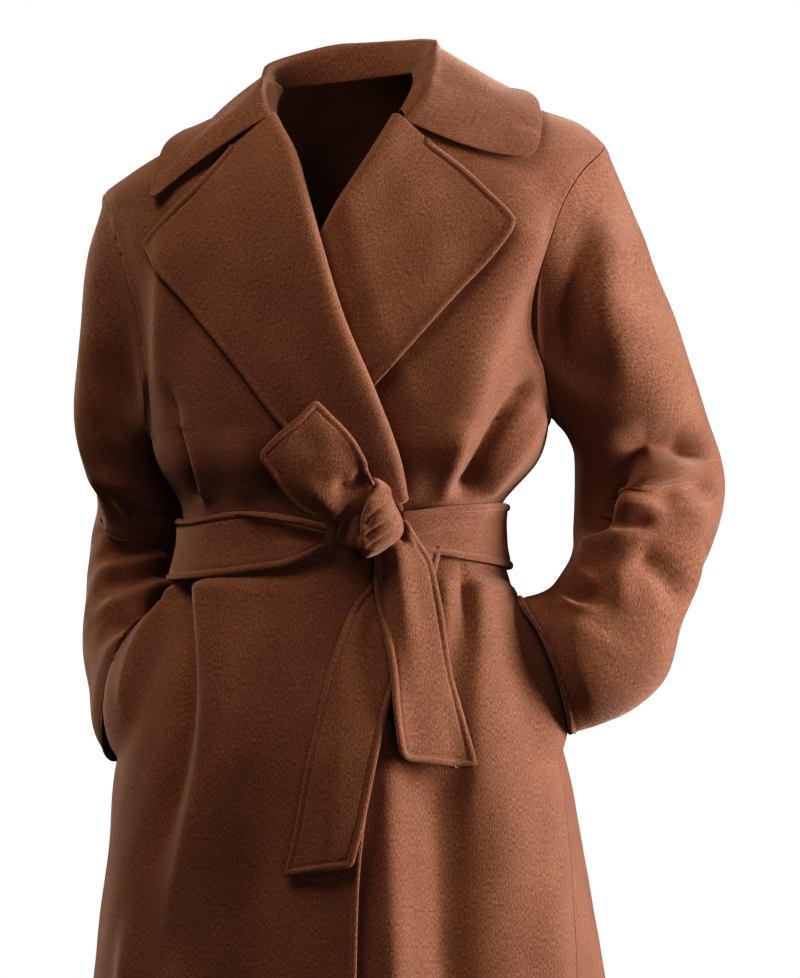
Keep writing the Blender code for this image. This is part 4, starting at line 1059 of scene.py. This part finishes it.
# ================================================================ collar
# Stand and fall are cut in one: the cloth rises from the neck seam, folds over round the back of the neck and
# falls on the shoulders in two wide leaves with rounded corners. Each station of the table crosses the collar
# from its foot at the neck seam, over the fold, to its free edge; puff is how far it bulges out between, and
# sag how far it sinks.
COLLAR = table(
    "level fold_x fold_y fold_z edge_x edge_y edge_z puff sag | bearing",
    (-27, -74, -99, -36, -193, -99, -122, 6, 0, -38),
    (-18, -80, -84, -16, -188, -84, -101, 7, 0, -46),
    (-6, -81, -52, -2, -172, -50, -79, 3, 0, -60),
    (8, -79, -6, 9, -156, -4, -64, 2, 0, -90),
    (8, -70, 40, 20, -130, 68, -74, 5, 0, -122),
    (8, -44, 72, 32, -80, 118, -78, 14, 0, -150),
    (8, 0, 84, 41, 0, 132, -72, 15, 0, -180),
    (8, 48, 73, 44, 90, 120, -60, 14, 0, -210),
    (8, 78, 40, 42, 152, 70, -42, 8, 0, -238),
    (8, 89, -6, 36, 182, -4, -18, 2, 0, -270),
    (-6, 90, -48, 14, 191, -50, -32, 6, 2, -300),
    (-26, 80, -82, -16, 194, -86, -54, 9, 6, -317),
    (-35, 62, -101, -45, 187, -107, -76, 9, 12, -326),
)
COLLAR_LENGTH = 0.46
COLLAR_COLUMNS = 150
FALL_WIDTH = 0.125
FALL_STEP = 0.0036
STAND_ROWS = 12
COLLAR_CORNER = 0.014  # radius of the leaves' corners
COLLAR_CLEARANCE = 0.0070  # the leaves lie this far off the form
FOOT_CLEARANCE = 0.0098
STAND_RISE = 0.014  # the stand leaves its seam straight up before it leans back


def collar_foot(bearing, level):
    """The neck seam: on top of the neck edge behind, and beside the fronts' edges in front."""
    right = bearing_at(between(EDGE_RIGHT["level"], EDGE_RIGHT["x"], level), level)
    left = bearing_at(between(EDGE_LEFT["level"], EDGE_LEFT["x"], level), level)
    beside = ease(NECK - 0.0002, NECK - 0.004, level)[:, None]
    bearing = np.where(level < NECK - 0.0005, np.where(bearing > -180.0, right, left), bearing)
    seam = body(bearing, level, -CLOTH)
    inwards = unit(-seam * [1.0, 1.0, 0.0])
    up = np.array([0.0, 0.0, 1.0])
    rise = up * (1 - beside) + outward(bearing, level) * beside
    return seam + 3 * SEAM_GAP * up + beside * (CLOTH + FOOT_CLEARANCE) * inwards, STAND_RISE * rise


def collar_shell():
    """The whole collar, from its right end round the neck to its left."""
    at = np.arange(len(COLLAR["puff"]), dtype=float)
    places = steps_between(0.0, COLLAR_LENGTH, COLLAR_LENGTH / COLLAR_COLUMNS, EDGE_STEPS, EDGE_STEPS)
    where = places * at[-1] / COLLAR_LENGTH
    row = {name: between(at, COLLAR[name], where) for name in COLLAR}
    fold, edge = (np.stack([row[part + "_" + c] for c in "xyz"], axis=-1) for part in ("fold", "edge"))
    foot, rise = collar_foot(row["bearing"], np.minimum(row["level"], NECK))
    share = np.linspace(0.0, 1.0, STAND_ROWS + 1)[:-1, None, None]
    stand = foot * (1 - share) ** 2 + 2 * (foot + rise) * share * (1 - share) + fold * share**2
    share = (steps_between(0.0, FALL_WIDTH, FALL_STEP, (0.0,), EDGE_STEPS) / FALL_WIDTH)[:, None]
    along = np.cumsum(hops(edge))
    from_end = np.clip(np.minimum(along, along[-1] - along), 0.0, COLLAR_CORNER)
    cut = COLLAR_CORNER - np.sqrt(COLLAR_CORNER**2 - (COLLAR_CORNER - from_end) ** 2)
    fall_length = np.linalg.norm(edge - fold, axis=-1)
    share = (share * (1 - cut / fall_length))[..., None]
    outwards = unit(np.stack([row["fold_x"], row["fold_y"], np.full_like(where, 0.06)], axis=-1))
    arch = 4 * share * (1 - share)
    fall = fold * (1 - share) + edge * share + arch * row["puff"][:, None] * outwards
    fall = fall - arch * row["sag"][:, None] * [0.0, 0.0, 1.0]
    fall = clear_of_body(fall, COLLAR_CLEARANCE)
    points = np.concatenate([stand, fall])
    rim = np.concatenate([fall[:, 0], fall[-1, ::2], fall[::-1, -1]])
    from_edge, _, _ = nearest(points, rim)
    points, from_edge = points[::-1], from_edge[::-1]
    normals = grid_normals(points)
    points = points + uneven(points, UNEVEN_TUBE)[..., None] * normals
    return turned_cloth("collar", points, normals, from_edge)


collar = collar_shell()

# ================================================================ belt
# A tie belt of the same wool, two thicknesses turned in and sewn to a flat band 65 mm wide. It goes once round
# the waist and gathers into a knot at the front. A short end stands up out of the knot and leans forward, and
# two longer ones hang down over the skirt, one behind the other.
BELT_CLOTH = 0.0040
BELT_WIDTH = 0.065
BELT_STEP = 0.0022
BELT_COLUMNS = 250
BELT_LIFT = 0.0072  # the belt's outer face stands this far off the form
KNOT_LIFT = 0.006  # and this much farther at the knot
UNEVEN_BELT = 0.0008
BELT_BAND = table(
    "top bottom | bearing",
    (-424, -464, 24),
    (-420, -471, 42),
    (-417, -481, 70),
    (-420, -488, 110),
    (-426, -494, 180),
    (-432, -497, 260),
    (-433, -496, 290),
    (-424, -488, 320),
    (-430, -478, 340),
    (-437, -462, 352),
)

# Pleats that run out of the knot along the band
BELT_PLEATS = folds(
    front=[
        (-112, -424, -55, -437.5, -6, -452, 5, 12, 1.6, 0.3, 0),
        (-80, -452, -45, -452, -6, -456, -1.8, 6, 6, 0.4, 0),
        (58, -451.5, 105, -437, 152, -429, 4.6, 11, 1.6, 0, 0.3),
        (62, -458, 95, -458, 130, -462, -1.6, 6, 7, 0, 0.5),
    ],
    back=[
        (-120, -452, 0, -458, 120, -450, -1.4, 8, 8, 0.3, 0.3),
    ],
)


def belt_band():
    """The belt round the waist, from the knot's left round the back to its right."""
    at = BELT_BAND["bearing"]
    bearing = np.linspace(at[0], at[-1], BELT_COLUMNS)
    top, bottom = (between(at, BELT_BAND[name], bearing) for name in ("top", "bottom"))
    share = (steps_between(0.0, BELT_WIDTH, BELT_STEP, EDGE_STEPS, EDGE_STEPS) / BELT_WIDTH)[:, None]
    level = bottom * (1 - share) + top * share
    bearing = np.broadcast_to(bearing, level.shape)
    near_knot = np.minimum(bearing - at[0], at[-1] - bearing)
    points, normals = form(bearing, level), outward(bearing, level)
    pleats = fold_height(points, normals, BELT_PLEATS, BODY_SURFACE)
    puff, closing = turned_edge(np.minimum(level - bottom, top - level))
    lift = BELT_LIFT + KNOT_LIFT * (1 - ease(0.0, 30.0, near_knot)) + pleats + puff
    lift = lift + uneven(points, UNEVEN_BELT)
    outside = body(bearing, level, lift - closing)
    piece = cloth_object("belt_band_cloth", outside, body(bearing, level, lift - BELT_CLOTH + closing))
    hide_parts("belt_waist")
    return piece


belt = belt_band()

# The free ends: rungs across each, from the knot to the tip, with how far each edge stands off the form
BELT_ENDS = {
    "belt_end_up": table(
        "first_x first_z second_x second_z first_off second_off",
        (-6, -432, 22, -400, 36, 36),
        (-14, -425, 27, -389, 41, 34),
        (-24, -415, 21, -372, 46, 30),
        (-42, -398, 3, -345, 48, 28),
        (-60, -381, -12, -328, 46, 27),
        (-75, -365, -26, -314, 43, 27),
    ),
    "belt_end_front": table(
        "first_x first_z second_x second_z first_off second_off",
        (26, -446, 56, -430, 26, 20),
        (29, -464, 65, -448, 26, 18),
        (29, -482, 74, -466, 24, 16),
        (29, -502, 82, -485, 22, 15),
        (34, -532, 89, -516, 21, 12),
        (42, -580, 100, -572, 20, 9),
        (46, -622, 114, -631, 20, 8),
        (52, -664, 124, -673, 19, 8),
        (58, -674, 125, -680, 19, 8),
    ),
    "belt_end_back": table(
        "first_x first_z second_x second_z first_off second_off",
        (40, -466, 94, -461, 5, 4.5),
        (28, -494, 86, -494, 7, 6),
        (9, -521, 73, -532, 8, 6.5),
        (-5, -553, 58, -575, 8.5, 7),
        (-18, -593, 42, -622, 9, 8),
        (-33, -664, 32, -669, 9, 9),
        (-48, -744, 20, -732, 9, 9),
        (-59, -786, 9, -777, 9, 9),
    ),
}
# Folds of the ends, where the knot gathers them
END_FOLDS = {
    "belt_end_up": folds(
        front=[
            (24, -392, 8, -402, -14, -398, -11, 10, 9, 0.05, 0.35, 1.6),
            (-6, -428, -26, -410, -50, -388, 4.5, 8, 10, 0.05, 0.5),
            (24, -384, 10, -362, -6, -344, 4, 8, 8, 0.1, 0.5),
            (-20, -372, -34, -358, -48, -346, -2, 14, 14, 0.3, 0.2),
        ],
    ),
    "belt_end_front": folds(
        front=[
            (36, -462, 37, -500, 48, -570, -11, 7, 5, 0.05, 0.5, 1.7),
            (50, -458, 60, -520, 74, -620, 5.5, 12, 9, 0.02, 0.6),
            (53, -436, 57, -448, 60, -458, -8, 3, 3, 0.2, 0.35, 1.5),
            (59, -436, 64, -450, 71, -466, 3, 4, 4, 0.1, 0.35, 1.8),
            (96, -600, 104, -640, 112, -676, -2, 12, 12, 0.3, 0),
        ],
    ),
    "belt_end_back": folds(
        front=[
            (50, -470, 30, -530, 10, -600, -3, 12, 10, 0.05, 0.5),
            (0, -640, -12, -700, -24, -780, 2.2, 14, 14, 0.3, 0),
        ],
    ),
}
END_ARCH = {"belt_end_up": 0.005, "belt_end_front": 0.0045, "belt_end_back": 0.0020}  # fullness across
END_CORNER = 0.006  # radius of the tip's corners
END_LENGTH = {"belt_end_up": 0.115, "belt_end_front": 0.225, "belt_end_back": 0.330}


def belt_end(name):
    """One free end of the belt."""
    rungs = BELT_ENDS[name]
    at = np.arange(len(rungs["first_x"]), dtype=float)
    length = END_LENGTH[name]
    where = steps_between(0.0, length, BELT_STEP, (0.0,), EDGE_STEPS) * at[-1] / length
    row = {column: between(at, rungs[column], where)[:, None] for column in rungs}
    share = steps_between(0.0, BELT_WIDTH, BELT_STEP, EDGE_STEPS, EDGE_STEPS) / BELT_WIDTH
    from_tip = np.clip((at[-1] - where) * length / at[-1], 0.0, END_CORNER)
    cut = (END_CORNER - np.sqrt(END_CORNER**2 - (END_CORNER - from_tip) ** 2)) / BELT_WIDTH
    share = cut[:, None] + share * (1 - 2 * cut[:, None])
    across = {c: row["first_" + c] * (1 - share) + row["second_" + c] * share for c in ("x", "z", "off")}
    under = np.maximum(panel_rise("right", across["x"], across["z"]), 0.0)
    arch = 4 * END_ARCH[name] * share * (1 - share)
    points = on_front(across["x"], across["z"], across["off"] + arch + under)
    rim = np.concatenate([points[:, 0], points[-1], points[::-1, -1]])
    from_edge, _, _ = nearest(points, rim[::2])
    if name != "belt_end_up":
        points, from_edge = points[::-1], from_edge[::-1]
    normals = grid_normals(points)
    lift = fold_height(points, normals, END_FOLDS[name]) + uneven(points, UNEVEN_BELT)
    points = points + lift[..., None] * normals
    return turned_cloth(name, points, grid_normals(points), from_edge, BELT_CLOTH)


belt_ends = {name: belt_end(name) for name in BELT_ENDS}

# ================================================================ the knot
# One overhand tie. The turn that shows is the belt at its full width, gathered into soft creases as it is
# pulled over the knot and down to its lip; at its left two edges of the turns beneath curl round it.
KNOT = table(
    "z left right",
    (-472.5, 18, 23.5),
    (-469, 15, 33),
    (-465, 12, 40),
    (-461, -3, 46),
    (-456, -7, 52),
    (-449, -7.5, 57.5),
    (-439, -5, 59),
    (-430, -2, 56),
    (-420, 3.5, 51),
    (-411, 10, 47.5),
    (-403, 16, 46.5),
    (-396, 22, 40),
    (-391.5, 25.5, 33),
)
KNOT_FOOT = -0.134  # the knot stands out from here, in front of the band
KNOT_DEPTH = 0.049
KNOT_FOLDS = folds(
    front=[
        # the grooves between the two curled edges and the turn that covers them
        (29, -395, 3.5, -428, 1, -464, -5.8, 2.4, 2.2, 0.08, 0, 1.5),
        (32, -399, 14.5, -430, 15, -468, -8.5, 2.4, 3.4, 0.08, 0, 1.5),
        (-1, -456, -2, -430, 14, -402, 1.2, 3, 3, 0.1, 0.2),
        # the covering turn is full beside its grooves
        (36, -396, 20, -430, 20, -468, 3, 5, 3, 0.1, 0),
        # creases that run up to the right across it
        (19, -442, 29, -429, 46, -413, -3.2, 2.8, 3.4, 0.2, 0.1, 1.7),
        (18, -452, 31, -443, 52, -430, -3.6, 2.6, 3.4, 0.15, 0.1, 1.7),
        (19, -462, 34, -453, 54, -440, -3, 2.2, 2.6, 0.15, 0.05, 1.7),
        (26, -413, 34, -410, 44, -403, -2.6, 2.6, 3, 0.25, 0.15, 1.8),
        (23, -426, 34, -419, 48, -408, 1.4, 4, 4, 0.25, 0.15),
        (23, -436, 34, -429, 52, -422, 1.2, 3, 3, 0.25, 0.15),
    ],
)


def knot_shell():
    """The knot's front as one gathered shell, from the lip at its foot up to where it holds the upper end."""
    height = KNOT["z"][-1] - KNOT["z"][0]
    at = np.linspace(-math.pi / 2, math.pi / 2, 110)
    z = (KNOT["z"][0] + KNOT["z"][-1]) / 2 + height / 2 * np.sin(at)
    left, right = (between(KNOT["z"], KNOT[name], z)[:, None] for name in ("left", "right"))
    turn = np.linspace(-math.pi / 2, math.pi / 2, 96)
    x = (left + right) / 2 + (right - left) / 2 * np.sin(turn)
    swell = np.abs(np.cos(turn)) ** 0.75 * (np.abs(np.cos(at)) ** 0.5)[:, None]
    y = KNOT_FOOT - KNOT_DEPTH * swell * (0.88 + 0.12 * ease(-0.005, 0.035, x))
    points = np.stack([x, y, np.broadcast_to(z[:, None], x.shape)], axis=-1)
    normals = grid_normals(points)
    facing = np.clip(-normals[..., 1], 0.0, 1.0)
    points = points + (fold_height(points, normals, KNOT_FOLDS) * facing)[..., None] * normals
    normals = grid_normals(points)
    piece = cloth_object("knot_cloth", points, points - BELT_CLOTH * normals)
    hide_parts("belt_wrap", "belt_knot")
    return piece


knot = knot_shell()

# ================================================================ the studio
# A plain white background. A large soft light grazes the coat from the wearer's left, a second one comes from
# above on the other side, a weak one fills from the camera, and one lights the back. The camera is level with
# the chest, square on to the coat, and takes it in from above the collar to the thighs.
CHEST = (0.05, 0.0, -0.40)  # what the lights face


def soft_light(name, azimuth, elevation, distance, width, height, power, colour):
    """A large softbox that faces the coat's chest. Azimuth 0 is the camera's side, positive to its right."""
    light = bpy.data.lights.new(name, "AREA")
    light.shape = "RECTANGLE"
    light.size = width
    light.size_y = height
    light.energy = power
    light.color = linear(colour)[:3]
    lamp = bpy.data.objects.new(name, light)
    turn, climb = math.radians(azimuth), math.radians(elevation)
    away = np.array([math.sin(turn) * math.cos(climb), -math.cos(turn) * math.cos(climb), math.sin(climb)])
    lamp.location = (away * distance + CHEST).tolist()
    lamp.rotation_euler = (math.radians(90) - climb, 0.0, turn)
    bpy.context.scene.collection.objects.link(lamp)


soft_light("key", 82.0, 3.0, 3.0, 1.1, 1.8, 238.0, "#F6F8FF")
soft_light("left", -44.0, 54.0, 3.0, 1.4, 1.4, 74.0, "#FFFFFF")
soft_light("fill", 12.0, 2.0, 4.2, 1.6, 1.6, 32.0, "#FFFFFF")
soft_light("back", 215.0, 10.0, 4.2, 1.6, 1.6, 110.0, "#FFFFFF")

# The background is white to the camera, and gives the coat only a little light
world = bpy.data.worlds.new("studio")
world.use_nodes = True
studio = world.node_tree
sky = studio.nodes["Background"]
sky.inputs["Color"].default_value = linear("#F3F2F0")
sky.inputs["Strength"].default_value = 0.035
seen = add(studio, "ShaderNodeBackground", {"Color": linear("#FFFFFF"), "Strength": 1.0})
to_camera = add(studio, "ShaderNodeLightPath").outputs["Is Camera Ray"]
both = add(studio, "ShaderNodeMixShader", {0: to_camera, 1: sky.outputs[0], 2: seen.outputs[0]})
studio.links.new(both.outputs[0], studio.nodes["World Output"].inputs["Surface"])
bpy.context.scene.world = world

# The tone curves make the shadows deep and full of colour, and leave the lights as they are. Each point is a
# linear light and what it is shown as.
TONES = ((0.05, 0.0163), (0.10, 0.0446), (0.20, 0.122), (0.40, 0.333), (0.60, 0.600))
GREENS = ((0.05, 0.038), (0.09, 0.077), (0.20, 0.188), (0.35, 0.350))
BLUES = ((0.03, 0.019), (0.06, 0.043), (0.12, 0.103), (0.22, 0.220))
display = bpy.context.scene.view_settings
display.view_transform = "Standard"
display.use_curve_mapping = True
for channel, curve in ((1, GREENS), (2, BLUES), (3, TONES)):
    for light, shown in curve:
        display.curve_mapping.curves[channel].points.new(light, shown)
display.curve_mapping.update()

CAMERA_DISTANCE = 9.0
VIEW_WIDTH = 0.80  # what the frame takes in at the sleeve line
lens = bpy.data.cameras.new("camera")
lens.sensor_fit = "HORIZONTAL"
lens.sensor_width = 36.0
lens.lens = 36.0 * CAMERA_DISTANCE / VIEW_WIDTH
lens.clip_end = 60.0
camera = bpy.data.objects.new("camera", lens)
camera.location = (0.055, -CAMERA_DISTANCE, -0.404)
camera.rotation_euler = (math.radians(90), 0.0, 0.0)
bpy.context.scene.collection.objects.link(camera)
bpy.context.scene.camera = camera
